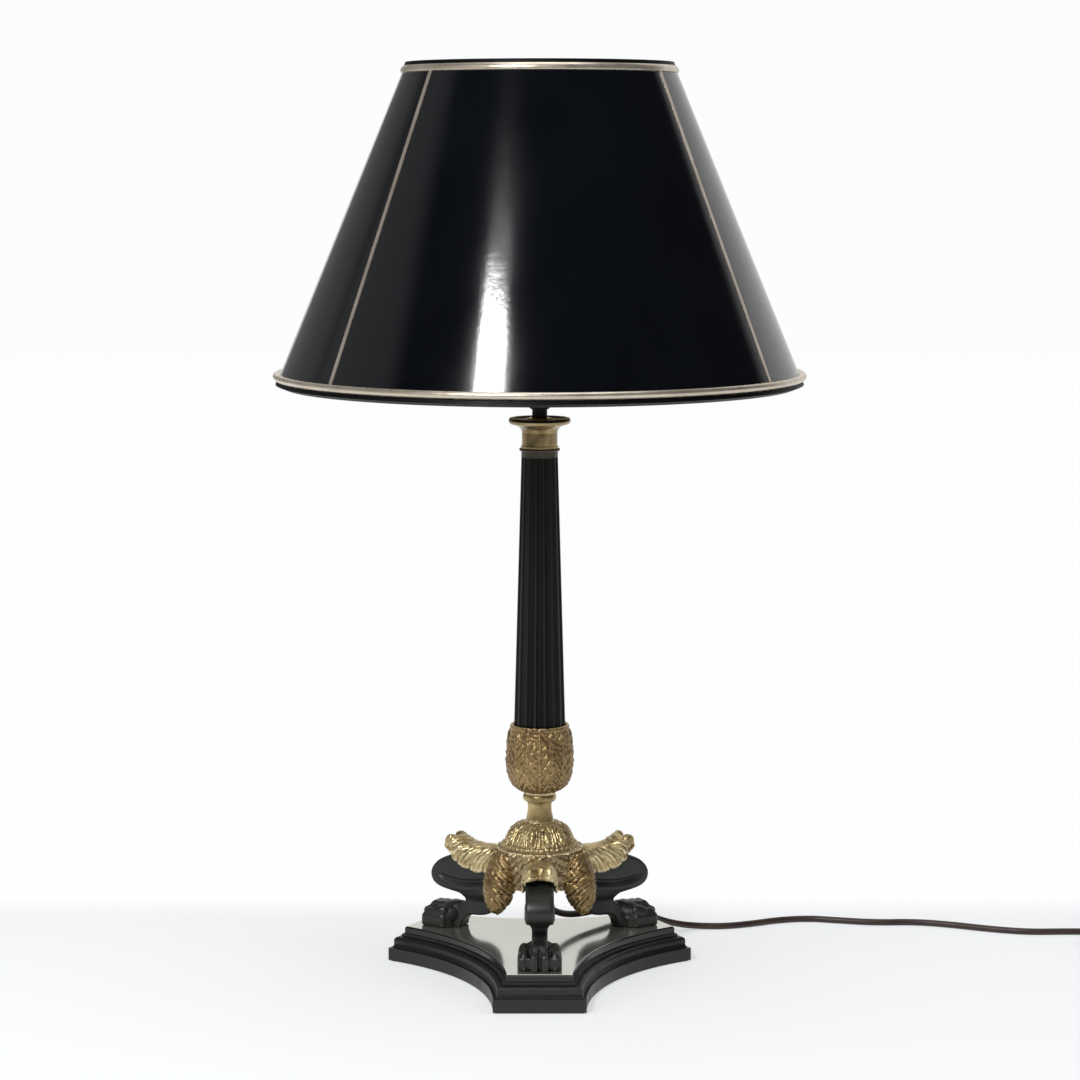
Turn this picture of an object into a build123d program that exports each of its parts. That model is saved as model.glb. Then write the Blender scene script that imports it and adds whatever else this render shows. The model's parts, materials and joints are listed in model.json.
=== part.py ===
"""A tripod column table lamp with a black card shade, built as separate pieces.

Millimetres, +Z up. The origin is on the lamp's axis, on the surface it stands on.
The front leg points along -Y, the other two stand 120 degrees round from it.
"""

from build123d import *
from math import atan2, cos, hypot, pi, radians, sin, sqrt, tan
import os

os.makedirs("parts", exist_ok=True)

# ---------------------------------------------------------------- driving dimensions
# Fits
slip = 0.05                    # radial play where one piece slides or turns in another
joint_gap = 0.3                # play between faces of different moving pieces

# Plinth: three truncated corners with concave sides between them
leg_count = 3
first_azimuth = -90            # the front leg, degrees about +Z from +X
corner_reach = 101.7           # axis to each end face
corner_width = 60.3            # width of an end face
felt_thickness = 0.8
felt_margin = 1.5
band_height = 8.4              # plain vertical band round the foot
step_inset = 2.0               # set-back of the slope above the band
slope_inset = 3.0
slope_height = 2.8
torus_inset = 2.8              # half-round moulding
torus_height = 4.6
torus_rounding = 2.2
neck_inset = 6.8               # plain neck that carries the plate
neck_height = 2.0
plinth_wall = 9.0
deck_thickness = 5.0
plate_inset = 8.3
plate_thickness = 4.9
plate_chamfer = 1.0

# Legs: a thigh, a knee, a hock and a four-toed paw
leg_width = 18.6
ankle_width = 10.4
root_reach = 14.0              # inner end of the thigh, from the axis
root_height = 13.0
crown_seat = 54.5              # plate top to the flat that carries the crown
knee_reach = 79.5
hock_reach = 31.5
heel_reach = 59.0
paw_reach = 89.0
instep_rise = 20.0             # plate top to the bend between shin and paw
paw_height = 16.4
toe_count = 4
toe_width = 7.2
toe_height = 11.5
toe_length = 19.0
toe_set_back = 3.0             # outer toes end this much short of the inner pair
toe_rounding = 2.6
paw_screw_reach = 74.0
paw_screw_radius = 2.5
paw_screw_bite = 8.0
paw_head_radius = 4.6
paw_head_height = 2.8
slot_width = 1.2
slot_depth = 1.2

# Crown, hub and their mounts
crown_radius = 24.4
crown_thickness = 3.0
crown_screw_reach = 20.0
crown_screw_radius = 2.0
crown_screw_bite = 9.0
crown_head_radius = 3.6
crown_head_height = 2.2
hub_radius = 29.0
hub_wall = 4.0
hub_height = 25.0
hub_roof = 3.0
doorway_play = 0.25            # each side of a thigh where it passes the hub
pendant_width = 27.6           # leaf that hangs between two legs, at its widest
pendant_depth = 12.4           # how far it bulges there
pendant_drop = 16.5            # length of leaf below the hub
pendant_lean = 5.2             # its tip stands out this far from the hub's face
pendant_wall = 2.4
pendant_root = 15.0            # solid upper end, down from the hub's top
saddle_width = 22.0            # leaf that sits over a thigh
saddle_tip_reach = 68.5
saddle_pin_reach = 43.0
saddle_pin_rise = 2.6          # blind hole in the leaf, above the crown's seat
rivet_radius = 1.2
rivet_length = 5.0

# Stem: dome, neck, cup, shaft, ring, capital, drip plate
rod_radius = 5.0
rod_bore = 3.0
rod_below_crown = 11.0
dome_radius = 25.0
dome_height = 17.0
dome_top_radius = 10.2
dome_wall = 3.0
neck_height_total = 20.3
neck_radius = 7.9
collar_radius = 11.2
collar_height = 6.1
cup_height = 45.6
cup_radius = 22.7
cup_lip_radius = 19.0
cup_wall = 4.5
shaft_seat_depth = 6.0
shaft_length = 184.9
shaft_foot_radius = 17.4
shaft_top_radius = 12.2
shaft_bore = 8.0
flute_count = 16
flute_share = 0.42             # flute radius as a share of the spacing between flutes
ring_band_height = 4.0
ring_bead_height = 2.0
ring_bead_radius = 13.5
spigot_length = 6.0
capital_neck_radius = 11.8
capital_neck_height = 10.0
capital_height = 15.8
drip_radius = 20.4
drip_thickness = 4.0
drip_lip = 1.0
top_nut_radius = 8.0
top_nut_height = 2.4
bottom_nut_across = 17.0
bottom_nut_height = 6.0
washer_radius = 10.0
washer_thickness = 1.5
bush_height = 6.0
bush_radius = 6.6
bush_grip = 3.0                # length of rod held in the bush

# Lampholder
holder_gap = 5.9               # bare rod between drip plate and lampholder
cap_collar_radius = 7.0
cap_collar_height = 5.5
cap_radius = 19.5
cap_height = 19.5
cap_wall = 2.5
body_height = 34.0
body_radius = 19.3
body_bore = 16.5
shoulder_radius = 22.0
shoulder_rise = 4.0            # up the body to the underside of the shoulder
shoulder_thickness = 2.0
insert_height = 7.5
wire_hole_radius = 1.6
wire_hole_offset = 6.5
contact_height = 3.2
contact_radius = 3.0
sleeve_wall = 0.45
sleeve_height = 22.0
switch_offset = 9.0            # switch bar beside the cable
switch_rise = 14.0             # up the cap to the bar's axis
switch_radius = 2.5
switch_travel = 8.0
switch_button_radius = 4.0
switch_button_length = 4.0
switch_collar_radius = 3.8
ring_nut_radius = 24.0
ring_nut_height = 7.0
grip_count = 24
grip_radius = 0.9

# Bulb
bulb_cap_radius = 13.2
bulb_cap_height = 25.0
bulb_tip_height = 2.0
bulb_tip_radius = 4.8
bulb_radius = 30.0
bulb_neck_radius = 14.5
bulb_height = 79.0
bulb_glass_wall = 1.0
filament_rise = 40.0
filament_span = 24.0
filament_wire = 0.6

# Shade
shade_height = 207.0
shade_bottom_radius = 172.4
shade_top_radius = 86.8
rim_below_seat = 7.9           # card's lower edge below the holder's shoulder
card_thickness = 0.8
lining_thickness = 0.4
hoop_wire = 3.0
binding_thickness = 0.5
binding_lap = 2.3              # binding seen beside the gold trim
trim_height = 4.5
bottom_trim_bulge = 4.2        # how far each gold trim stands off the card
top_trim_bulge = 1.6
trim_side_share = 0.55         # straight part of that, before the trim's round face
tape_width = 3.2
tape_thickness = 0.4
tape_azimuths = (-140.0, -31.5, 94.0)
fitter_thickness = 1.5
fitter_radius = 27.0
arm_wire = 3.0
arm_count = 3
arm_first_azimuth = 90

# Cord
cord_diameter = 4.6
coil_centre = (418.0, 61.0)
coil_turns_across = 4
coil_layers = 2
coil_mean_radius = 25.3
tie_width = 6.0
tie_thickness = 0.8
tail_end = 20.0                # from the coil's widest point to the plug's sleeve
plug_sleeve_length = 22.0
plug_sleeve_small = 3.0
plug_sleeve_large = 4.6
plug_length = 36.0
plug_width = 27.0
plug_rounding = 5.0
pin_radius = 2.0
pin_length = 19.0
pin_spacing = 19.0
pin_root = 6.0

# ---------------------------------------------------------------- heights up the lamp
z_band = felt_thickness + band_height
z_slope = z_band + slope_height
z_torus = z_slope + torus_height
z_plate = z_torus + neck_height
z_deck = z_plate - deck_thickness
z_top = z_plate + plate_thickness
z_crown = z_top + crown_seat
z_crown_top = z_crown + crown_thickness
z_hub_top = z_crown_top + crown_head_height + joint_gap + hub_roof
z_hub = z_hub_top - hub_height
z_dome_top = z_hub_top + dome_height
z_cup = z_dome_top + neck_height_total
z_cup_top = z_cup + cup_height
z_shaft = z_cup_top - shaft_seat_depth
z_shaft_top = z_shaft + shaft_length
z_bead = z_shaft_top + ring_band_height
z_capital = z_bead + ring_bead_height
z_drip = z_capital + capital_height
z_drip_top = z_drip + drip_thickness
z_holder = z_drip_top + holder_gap
z_body = z_holder + cap_height
z_shoulder = z_body + shoulder_rise
z_seat = z_shoulder + shoulder_thickness
z_insert_top = z_body + insert_height
z_rim = z_seat - rim_below_seat
z_rod = z_crown - rod_below_crown
z_bush = z_rod - bush_height + bush_grip
z_bulb = z_insert_top + contact_height + joint_gap
z_glass = z_bulb + bulb_cap_height

leg_azimuths = [first_azimuth + 360 / leg_count * k for k in range(leg_count)]
gap_azimuths = [azimuth + 180 / leg_count for azimuth in leg_azimuths]
leg_names = ("front", "right", "left")
gap_names = ("right", "back", "left")


# ---------------------------------------------------------------- helpers
def save(piece, label):
    """Labels a finished piece and writes it as one STEP file."""
    piece.part.label = label
    export_step(piece.part, f"parts/{label}.step")


def polar(radius, azimuth):
    """A point in plan from a radius and an azimuth in degrees."""
    return Vector(radius * cos(radians(azimuth)), radius * sin(radians(azimuth)))


def side_plane(azimuth):
    """An upright plane through the axis: x runs outwards along the azimuth, y is up."""
    turn = radians(azimuth)
    return Plane(origin=(0, 0, 0), x_dir=(cos(turn), sin(turn), 0), z_dir=(sin(turn), -cos(turn), 0))


def facing_plane(azimuth, reach=0.0):
    """An upright plane across the azimuth: x runs sideways, y is up, z outwards."""
    turn = radians(azimuth)
    outwards = (cos(turn), sin(turn), 0)
    return Plane(origin=(0, 0, 0), x_dir=(-sin(turn), cos(turn), 0), z_dir=outwards).offset(reach)


def level_plane(height, azimuth=0.0):
    """A level plane whose x axis runs outwards along the azimuth."""
    return Plane.XY.offset(height).rotated((0, 0, azimuth))


def plinth_outline(inset):
    """The three-cornered outline, moved inwards from the foot's edge by the inset."""
    half_width = corner_width / 2
    corner_distance = hypot(corner_reach, half_width)
    half_angle = radians(180 / leg_count) - atan2(half_width, corner_reach)
    chord = 2 * corner_distance * sin(half_angle)
    side_radius = chord / 2 / sin(radians(90 / leg_count))
    middle = corner_distance * cos(half_angle) - chord / 2 * tan(radians(45 / leg_count))
    half_end = half_width + side_radius - sqrt(side_radius**2 + 2 * side_radius * inset)
    with BuildSketch() as outline:
        with BuildLine():
            for azimuth in leg_azimuths:
                out = polar(corner_reach - inset, azimuth)
                across = polar(half_end, azimuth + 90)
                next_azimuth = azimuth + 360 / leg_count
                next_out = polar(corner_reach - inset, next_azimuth)
                next_across = polar(half_end, next_azimuth + 90)
                Line(out - across, out + across)
                hollow = polar(middle - inset, azimuth + 180 / leg_count)
                ThreePointArc(out + across, hollow, next_out - next_across)
        make_face()
    return outline.sketch


# ---------------------------------------------------------------- plinth
with BuildPart() as base_felt:
    with BuildSketch():
        add(plinth_outline(felt_margin))
    extrude(amount=felt_thickness)
save(base_felt, "base_felt")

with BuildPart() as plinth_base:
    with BuildSketch(Plane.XY.offset(felt_thickness)):
        add(plinth_outline(0))
    extrude(amount=band_height)
    with BuildSketch(Plane.XY.offset(z_band)):
        add(plinth_outline(step_inset))
    with BuildSketch(Plane.XY.offset(z_slope)):
        add(plinth_outline(slope_inset))
    loft(ruled=True)
    with BuildSketch(Plane.XY.offset(z_slope)):
        add(plinth_outline(torus_inset))
    extrude(amount=torus_height)
    torus_rims = plinth_base.edges().filter_by(GeomType.CIRCLE) + plinth_base.edges().filter_by(Plane.XY)
    torus_rims = torus_rims.filter_by(lambda rim: rim.center().Z > z_torus - slip)
    fillet(torus_rims, torus_rounding)
    with BuildSketch(Plane.XY.offset(z_torus)):
        add(plinth_outline(neck_inset))
    extrude(amount=neck_height)
    with BuildSketch(Plane.XY.offset(felt_thickness)):
        add(plinth_outline(plinth_wall))
    extrude(amount=z_deck - felt_thickness, mode=Mode.SUBTRACT)
    with BuildSketch(Plane.XY.offset(z_deck)):
        for azimuth in leg_azimuths:
            with Locations(polar(paw_screw_reach, azimuth)):
                Circle(paw_screw_radius + slip)
    extrude(amount=deck_thickness, mode=Mode.SUBTRACT)
save(plinth_base, "plinth_base")

with BuildPart() as plinth_plate:
    with BuildSketch(Plane.XY.offset(z_plate)):
        add(plinth_outline(plate_inset))
    extrude(amount=plate_thickness)
    chamfer(plinth_plate.faces().sort_by(Axis.Z)[-1].edges(), plate_chamfer)
    with BuildSketch(Plane.XY.offset(z_plate)):
        for azimuth in leg_azimuths:
            with Locations(polar(paw_screw_reach, azimuth)):
                Circle(paw_screw_radius + slip)
    extrude(amount=plate_thickness, mode=Mode.SUBTRACT)
save(plinth_plate, "plinth_plate")

with BuildPart() as paw_screws:
    for azimuth in leg_azimuths:
        with BuildSketch(Plane.XY.offset(z_deck)):
            with Locations(polar(paw_screw_reach, azimuth)):
                Circle(paw_screw_radius)
        extrude(amount=z_top + paw_screw_bite - z_deck)
        with BuildSketch(Plane.XY.offset(z_deck)):
            with Locations(polar(paw_screw_reach, azimuth)):
                Circle(paw_head_radius)
        extrude(amount=-paw_head_height)
        with BuildSketch(Plane.XY.offset(z_deck - paw_head_height)):
            with Locations(polar(paw_screw_reach, azimuth)):
                Rectangle(2 * paw_head_radius, slot_width)
        extrude(amount=slot_depth, mode=Mode.SUBTRACT)
save(paw_screws, "paw_screws")


# ---------------------------------------------------------------- legs
seat_end = (crown_radius + hub_wall, z_crown)
notch = (heel_reach - 3.5, z_top + instep_rise)
thigh_knots = [
    seat_end, (knee_reach - 40, z_crown + 1), (knee_reach - 24, z_crown - 1.2),
    (knee_reach - 11, z_crown - 5.6), (knee_reach - 3.2, z_crown - 11.2), (knee_reach, z_crown - 18),
    (knee_reach - 2.4, z_crown - 24.2), (knee_reach - 9.5, z_crown - 27.6),
    (knee_reach - 17.5, z_crown - 29.4), notch,
]
thigh_tangents = ((1, 0.1), (-0.3, -1))


def leg_outline():
    """A leg from the side: x runs outwards from the lamp's axis, y is up."""
    root_top = (root_reach, z_crown)
    paw_front = (paw_reach - 3.5, z_top)
    foot_length = paw_reach - heel_reach
    heel = (heel_reach, z_top)
    hip = (hock_reach + 3.4, z_top + 36)
    root_bottom = (root_reach, z_crown - root_height)
    with BuildSketch() as outline:
        with BuildLine():
            Line(root_top, seat_end)
            Spline(*thigh_knots, tangents=thigh_tangents)
            Spline(notch, (heel_reach + 1.2, z_top + paw_height - 0.2),
                   (heel_reach + foot_length * 8 / 30, z_top + paw_height - 1.8),
                   (heel_reach + foot_length * 17 / 30, z_top + paw_height - 1.2),
                   (paw_reach - 8.5, z_top + paw_height), (paw_reach - 4, z_top + paw_height - 4.4),
                   paw_front, tangents=((0.3, -1), (0.1, -1)))
            Line(paw_front, heel)
            Spline(heel, (heel_reach - 1.6, z_top + 5.4), (heel_reach - 6, z_top + 8.8),
                   (heel_reach - 14, z_top + 9.9), (hock_reach + 6.5, z_top + 11.6),
                   (hock_reach + 1.4, z_top + 16), (hock_reach, z_top + 22),
                   (hock_reach + 1.6, z_top + 28.5), hip)
            Polyline(hip, (hock_reach - 5, z_crown - root_height), root_bottom, root_top)
        make_face()
    return outline.sketch


def leg(azimuth):
    """One leg: a side outline narrowed by a front outline, with a block and toes for the paw."""
    with BuildPart() as leg_part:
        with BuildSketch(side_plane(azimuth)):
            add(leg_outline())
        extrude(amount=leg_width / 2, both=True)
        with BuildSketch(facing_plane(azimuth)):
            with BuildLine():
                right_edge = [
                    (ankle_width / 2 + 1.6, z_top - 1), (ankle_width / 2, z_top + 9),
                    (ankle_width / 2, z_top + instep_rise), (leg_width / 2 - 1.2, z_top + instep_rise + 4.2),
                    (leg_width / 2, z_top + instep_rise + 8), (leg_width / 2, z_crown + 3),
                ]
                left_edge = [(-x, y) for x, y in reversed(right_edge)]
                Polyline(*right_edge, *left_edge, close=True)
            make_face()
        extrude(amount=paw_reach, mode=Mode.INTERSECT)
        block_length = paw_reach - toe_length - heel_reach + 6
        block_width = toe_width * toe_count - 4.5
        block_rounding = min(4.5, 0.45 * block_length)
        with BuildSketch(level_plane(z_top, azimuth)):
            with Locations((heel_reach + 4 + block_length / 2, 0)):
                RectangleRounded(block_length, block_width, block_rounding)
        extrude(amount=paw_height - 3, taper=9)
        for toe in range(toe_count):
            sideways = (toe - (toe_count - 1) / 2) * toe_width
            outer_toe = toe in (0, toe_count - 1)
            tip = paw_reach - (toe_set_back if outer_toe else 0)
            height = toe_height - (2 if outer_toe else 0)
            with BuildPart(mode=Mode.PRIVATE) as one_toe:
                with BuildSketch(level_plane(z_top, azimuth)):
                    with Locations((tip - toe_length / 2, sideways)):
                        Rectangle(toe_length, toe_width)
                extrude(amount=height)
                lower_rim = one_toe.faces().sort_by(Axis.Z)[0].edges()
                upper_edges = one_toe.edges() - lower_rim
                fillet(upper_edges, toe_rounding)
            add(one_toe.part)
        with BuildSketch(level_plane(z_top, azimuth)):
            with Locations((paw_screw_reach, 0)):
                Circle(paw_screw_radius + slip)
        extrude(amount=paw_screw_bite + 1, mode=Mode.SUBTRACT)
        with BuildSketch(level_plane(z_crown, azimuth)):
            with Locations((crown_screw_reach, 0)):
                Circle(crown_screw_radius + slip)
        extrude(amount=-crown_screw_bite - 1, mode=Mode.SUBTRACT)
        with BuildSketch(level_plane(z_crown + saddle_pin_rise, azimuth)):
            with Locations((saddle_pin_reach, 0)):
                Circle(rivet_radius + slip)
        extrude(amount=-saddle_pin_rise - rivet_length, mode=Mode.SUBTRACT)
    return leg_part


for side, azimuth in zip(leg_names, leg_azimuths):
    save(leg(azimuth), f"leg_{side}")

# ---------------------------------------------------------------- crown and hub
with BuildPart() as leg_crown:
    with BuildSketch(Plane.XY.offset(z_crown)):
        Circle(crown_radius)
        Circle(rod_radius + slip, mode=Mode.SUBTRACT)
        for azimuth in leg_azimuths:
            with Locations(polar(crown_screw_reach, azimuth)):
                Circle(crown_screw_radius + slip, mode=Mode.SUBTRACT)
    extrude(amount=crown_thickness)
save(leg_crown, "leg_crown")

with BuildPart() as crown_screws:
    for azimuth in leg_azimuths:
        with BuildSketch(Plane.XY.offset(z_crown_top)):
            with Locations(polar(crown_screw_reach, azimuth)):
                Circle(crown_screw_radius)
        extrude(amount=-crown_thickness - crown_screw_bite)
        with BuildSketch(Plane.XY.offset(z_crown_top)):
            with Locations(polar(crown_screw_reach, azimuth)):
                Circle(crown_head_radius)
        extrude(amount=crown_head_height)
        with BuildSketch(Plane.XY.offset(z_crown_top + crown_head_height)):
            with Locations(polar(crown_screw_reach, azimuth)):
                Rectangle(2 * crown_head_radius, slot_width)
        extrude(amount=-slot_depth, mode=Mode.SUBTRACT)
save(crown_screws, "crown_screws")

with BuildPart() as hub_casting:
    with BuildSketch(Plane.XY.offset(z_hub)):
        Circle(hub_radius)
    extrude(amount=hub_height)
    with BuildSketch(Plane.XY.offset(z_hub)):
        Circle(hub_radius - hub_wall)
    extrude(amount=hub_height - hub_roof, mode=Mode.SUBTRACT)
    for azimuth in leg_azimuths:
        with BuildSketch(facing_plane(azimuth)):
            with Locations((0, (z_hub + z_crown) / 2)):
                Rectangle(leg_width + 2 * doorway_play, z_crown - z_hub + 2 * joint_gap)
        extrude(amount=hub_radius + 1, mode=Mode.SUBTRACT)
    with BuildSketch(Plane.XY.offset(z_hub_top)):
        Circle(rod_radius + slip)
    extrude(amount=-hub_roof, mode=Mode.SUBTRACT)
    for azimuth in gap_azimuths:
        with BuildSketch(facing_plane(azimuth, hub_radius)):
            with Locations((0, z_hub + hub_height / 2)):
                Circle(rivet_radius + slip)
        extrude(amount=-rivet_length, mode=Mode.SUBTRACT)
save(hub_casting, "hub_casting")


def pendant_form(azimuth, inset, high, low):
    """A leaf's bulging form between two heights, through ellipses, moved inwards by the inset."""
    stations = [
        (z_hub_top - 1, hub_radius, 0.36, 0.46), (z_hub_top - 8, hub_radius, 0.55, 0.60),
        (z_hub + 9, hub_radius, 0.84, 0.88), (z_hub, hub_radius + 0.1 * pendant_lean, 1.0, 1.0),
        (z_hub - 0.50 * pendant_drop, hub_radius + 0.46 * pendant_lean, 0.78, 0.86),
        (z_hub - 0.84 * pendant_drop, hub_radius + 0.81 * pendant_lean, 0.46, 0.52),
        (z_hub - pendant_drop, hub_radius + pendant_lean, 0.22, 0.20),
    ]
    with BuildPart() as form:
        for height, reach, deep, wide in stations:
            if low <= height <= high:
                with BuildSketch(level_plane(height, azimuth)):
                    with Locations((reach, 0)):
                        Ellipse(deep * pendant_depth - inset, wide * pendant_width / 2 - inset)
        loft()
    return form.part


def pendant_leaf(azimuth):
    """A cast leaf that hangs from the hub between two legs, open behind."""
    low = z_hub - pendant_drop
    tip_reach = hub_radius + pendant_lean
    with BuildPart() as leaf:
        add(pendant_form(azimuth, 0, z_hub_top, low))
        with BuildSketch(Plane.XY.offset(low - 1)):
            Circle(hub_radius)
        extrude(amount=z_hub_top - low + 1, mode=Mode.SUBTRACT)
        with BuildSketch(side_plane(azimuth)):
            with BuildLine():
                Polyline((0, z_hub), (hub_radius + 0.1 * pendant_lean, z_hub), (tip_reach, low),
                         (tip_reach, low - 1), (0, low - 1), close=True)
            make_face()
        extrude(amount=pendant_width, both=True, mode=Mode.SUBTRACT)
        add(pendant_form(azimuth, pendant_wall, z_hub_top - pendant_root, low + 1), mode=Mode.SUBTRACT)
        with BuildSketch(facing_plane(azimuth, hub_radius - hub_wall)):
            with Locations((0, z_hub + hub_height / 2)):
                Circle(rivet_radius + slip)
        extrude(amount=hub_wall + rivet_length / 2, mode=Mode.SUBTRACT)
    return leaf


for side, azimuth in zip(gap_names, gap_azimuths):
    save(pendant_leaf(azimuth), f"pendant_leaf_{side}")


def saddle_leaf(azimuth):
    """A leaf that sits over a thigh, down both its sides, and curls up at its tip."""
    tip = saddle_tip_reach
    inner = hub_radius + joint_gap
    with BuildPart() as leaf:
        with BuildSketch(side_plane(azimuth)):
            with BuildLine():
                Spline((inner, z_crown + 4), (tip - 26, z_crown + 3.6), (tip - 16, z_crown + 4.2),
                       (tip - 9, z_crown + 7.2), (tip - 4.5, z_crown + 8.6), (tip, z_crown + 4.5),
                       tangents=((1, -0.05), (0.2, -1)))
                Spline((tip, z_crown + 4.5), (tip - 2.5, z_crown - 1.5), (tip - 8, z_crown - 7.2),
                       (tip - 16, z_crown - 11), (tip - 26, z_crown - 13), (inner, z_crown - 13.5),
                       tangents=((-0.2, -1), (-1, 0)))
                Line((inner, z_crown - 13.5), (inner, z_crown + 4))
            make_face()
        extrude(amount=saddle_width / 2, both=True)
        with BuildSketch(level_plane(z_hub - 2, azimuth)):
            with BuildLine():
                half = saddle_width / 2
                Polyline((inner - 1, -half), (tip - 12, -half), (tip + 1, -6),
                         (tip + 1, 6), (tip - 12, half), (inner - 1, half), close=True)
            make_face()
        extrude(amount=hub_height + 12, mode=Mode.INTERSECT)
        with BuildSketch(side_plane(azimuth)):
            with BuildLine():
                Spline(*thigh_knots, tangents=thigh_tangents)
                Polyline(notch, (seat_end[0], notch[1]), seat_end)
            make_face()
        extrude(amount=leg_width / 2 + slip, both=True, mode=Mode.SUBTRACT)
        with BuildSketch(level_plane(z_crown, azimuth)):
            with Locations((saddle_pin_reach, 0)):
                Circle(rivet_radius + slip)
        extrude(amount=saddle_pin_rise, mode=Mode.SUBTRACT)
    return leaf


for side, azimuth in zip(leg_names, leg_azimuths):
    save(saddle_leaf(azimuth), f"thigh_leaf_{side}")

# ---------------------------------------------------------------- stem
with BuildPart() as dome:
    with BuildSketch(Plane.XZ):
        with BuildLine():
            bead_top = z_hub_top + 3
            Polyline((rod_radius + slip, z_dome_top), (dome_top_radius, z_dome_top))
            Spline((dome_top_radius, z_dome_top), (15.4, z_dome_top - 1.6), (19.1, z_dome_top - 5.4),
                   (21.6, z_dome_top - 9.6), (dome_radius - 1.6, bead_top))
            ThreePointArc((dome_radius - 1.6, bead_top), (dome_radius + 0.6, z_hub_top + 1.5),
                          (dome_radius - 0.6, z_hub_top))
            Line((dome_radius - 0.6, z_hub_top), (dome_radius - dome_wall - 1, z_hub_top))
            Spline((dome_radius - dome_wall - 1, z_hub_top), (18.5, z_hub_top + 6),
                   (dome_top_radius, z_dome_top - dome_wall - 1))
            Polyline((dome_top_radius, z_dome_top - dome_wall - 1),
                     (rod_radius + slip, z_dome_top - dome_wall - 1), (rod_radius + slip, z_dome_top))
        make_face()
    revolve(axis=Axis.Z)
save(dome, "dome")

with BuildPart() as stem_neck:
    with BuildSketch(Plane.XZ):
        with BuildLine():
            z_collar = z_cup - collar_height
            Line((rod_radius + slip, z_dome_top), (dome_top_radius - 0.6, z_dome_top))
            collar_edge = collar_radius - 0.9
            Spline((dome_top_radius - 0.6, z_dome_top), (neck_radius + 0.8, z_dome_top + 3.6),
                   (neck_radius, z_dome_top + 9.2), (neck_radius + 0.3, z_collar - 1.8),
                   (neck_radius + 1.2, z_collar))
            Line((neck_radius + 1.2, z_collar), (collar_edge, z_collar))
            ThreePointArc((collar_edge, z_collar), (collar_radius, z_collar + 2.3),
                          (collar_edge, z_collar + 4.6))
            Polyline((collar_edge, z_collar + 4.6), (collar_edge, z_cup), (rod_radius + slip, z_cup),
                     (rod_radius + slip, z_dome_top))
        make_face()
    revolve(axis=Axis.Z)
save(stem_neck, "stem_neck")

with BuildPart() as acanthus_cup:
    with BuildSketch(Plane.XZ):
        with BuildLine():
            bore = rod_radius + slip
            socket = shaft_foot_radius + slip
            ledge = shaft_bore + 6.5
            Line((bore, z_cup), (collar_radius + 0.6, z_cup))
            Spline((collar_radius + 0.6, z_cup), (17, z_cup + 2.9), (cup_radius - 2.2, z_cup + 7.4),
                   (cup_radius - 0.9, z_cup + 12), (cup_radius, z_cup + 21),
                   (cup_radius - 0.1, z_cup + 28), (cup_radius - 1, z_cup + 36),
                   (cup_lip_radius, z_cup_top))
            Polyline((cup_lip_radius, z_cup_top), (socket, z_cup_top), (socket, z_shaft),
                     (ledge, z_shaft), (ledge, z_shaft - 3.5), (cup_radius - cup_wall, z_shaft - 8),
                     (cup_radius - cup_wall, z_cup + 20), (cup_radius - cup_wall - 1.5, z_cup + 12),
                     (bore + 5, z_cup + 6), (bore, z_cup + 6), (bore, z_cup))
        make_face()
    revolve(axis=Axis.Z)
save(acanthus_cup, "acanthus_cup")

with BuildPart() as column_shaft:
    with BuildSketch(Plane.XY.offset(z_shaft)):
        Circle(shaft_foot_radius)
    with BuildSketch(Plane.XY.offset(z_shaft_top)):
        Circle(shaft_top_radius)
    loft(ruled=True)
    foot_spacing = 2 * pi * shaft_foot_radius / flute_count
    top_spacing = 2 * pi * shaft_top_radius / flute_count
    with BuildPart(mode=Mode.PRIVATE) as flute:
        with BuildSketch(Plane.XY.offset(z_cup_top)):
            with Locations((shaft_foot_radius + 0.4 * flute_share * foot_spacing, 0)):
                Circle(flute_share * foot_spacing)
        with BuildSketch(Plane.XY.offset(z_shaft_top)):
            with Locations((shaft_top_radius + 0.4 * flute_share * top_spacing, 0)):
                Circle(flute_share * top_spacing)
        loft(ruled=True)
    with PolarLocations(0, flute_count):
        add(flute.part, mode=Mode.SUBTRACT)
    with BuildSketch(Plane.XY.offset(z_shaft)):
        Circle(shaft_bore)
    extrude(amount=shaft_length, mode=Mode.SUBTRACT)
save(column_shaft, "column_shaft")

with BuildPart() as astragal_ring:
    with BuildSketch(Plane.XZ):
        with BuildLine():
            spigot = shaft_bore - slip
            band_radius = shaft_top_radius - 0.1
            Polyline((spigot, z_shaft_top - spigot_length), (spigot, z_shaft_top),
                     (band_radius, z_shaft_top), (band_radius, z_bead), (ring_bead_radius - 1, z_bead))
            ThreePointArc((ring_bead_radius - 1, z_bead),
                          (ring_bead_radius, z_bead + ring_bead_height / 2),
                          (ring_bead_radius - 1, z_capital))
            Polyline((ring_bead_radius - 1, z_capital), (rod_radius + slip, z_capital),
                     (rod_radius + slip, z_shaft_top - spigot_length),
                     (spigot, z_shaft_top - spigot_length))
        make_face()
    revolve(axis=Axis.Z)
save(astragal_ring, "astragal_ring")

with BuildPart() as capital_neck:
    with BuildSketch(Plane.XZ):
        with BuildLine():
            z_flare = z_capital + capital_neck_height
            Polyline((rod_radius + slip, z_capital), (capital_neck_radius + 0.6, z_capital),
                     (capital_neck_radius + 0.6, z_capital + 1.4),
                     (capital_neck_radius, z_capital + 1.8), (capital_neck_radius, z_flare))
            Spline((capital_neck_radius, z_flare), (capital_neck_radius + 0.9, z_flare + 2.6),
                   (drip_radius - 4.8, z_drip - 1.1), (drip_radius - 2, z_drip))
            Polyline((drip_radius - 2, z_drip), (rod_radius + slip, z_drip),
                     (rod_radius + slip, z_capital))
        make_face()
    revolve(axis=Axis.Z)
save(capital_neck, "capital_neck")

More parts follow.
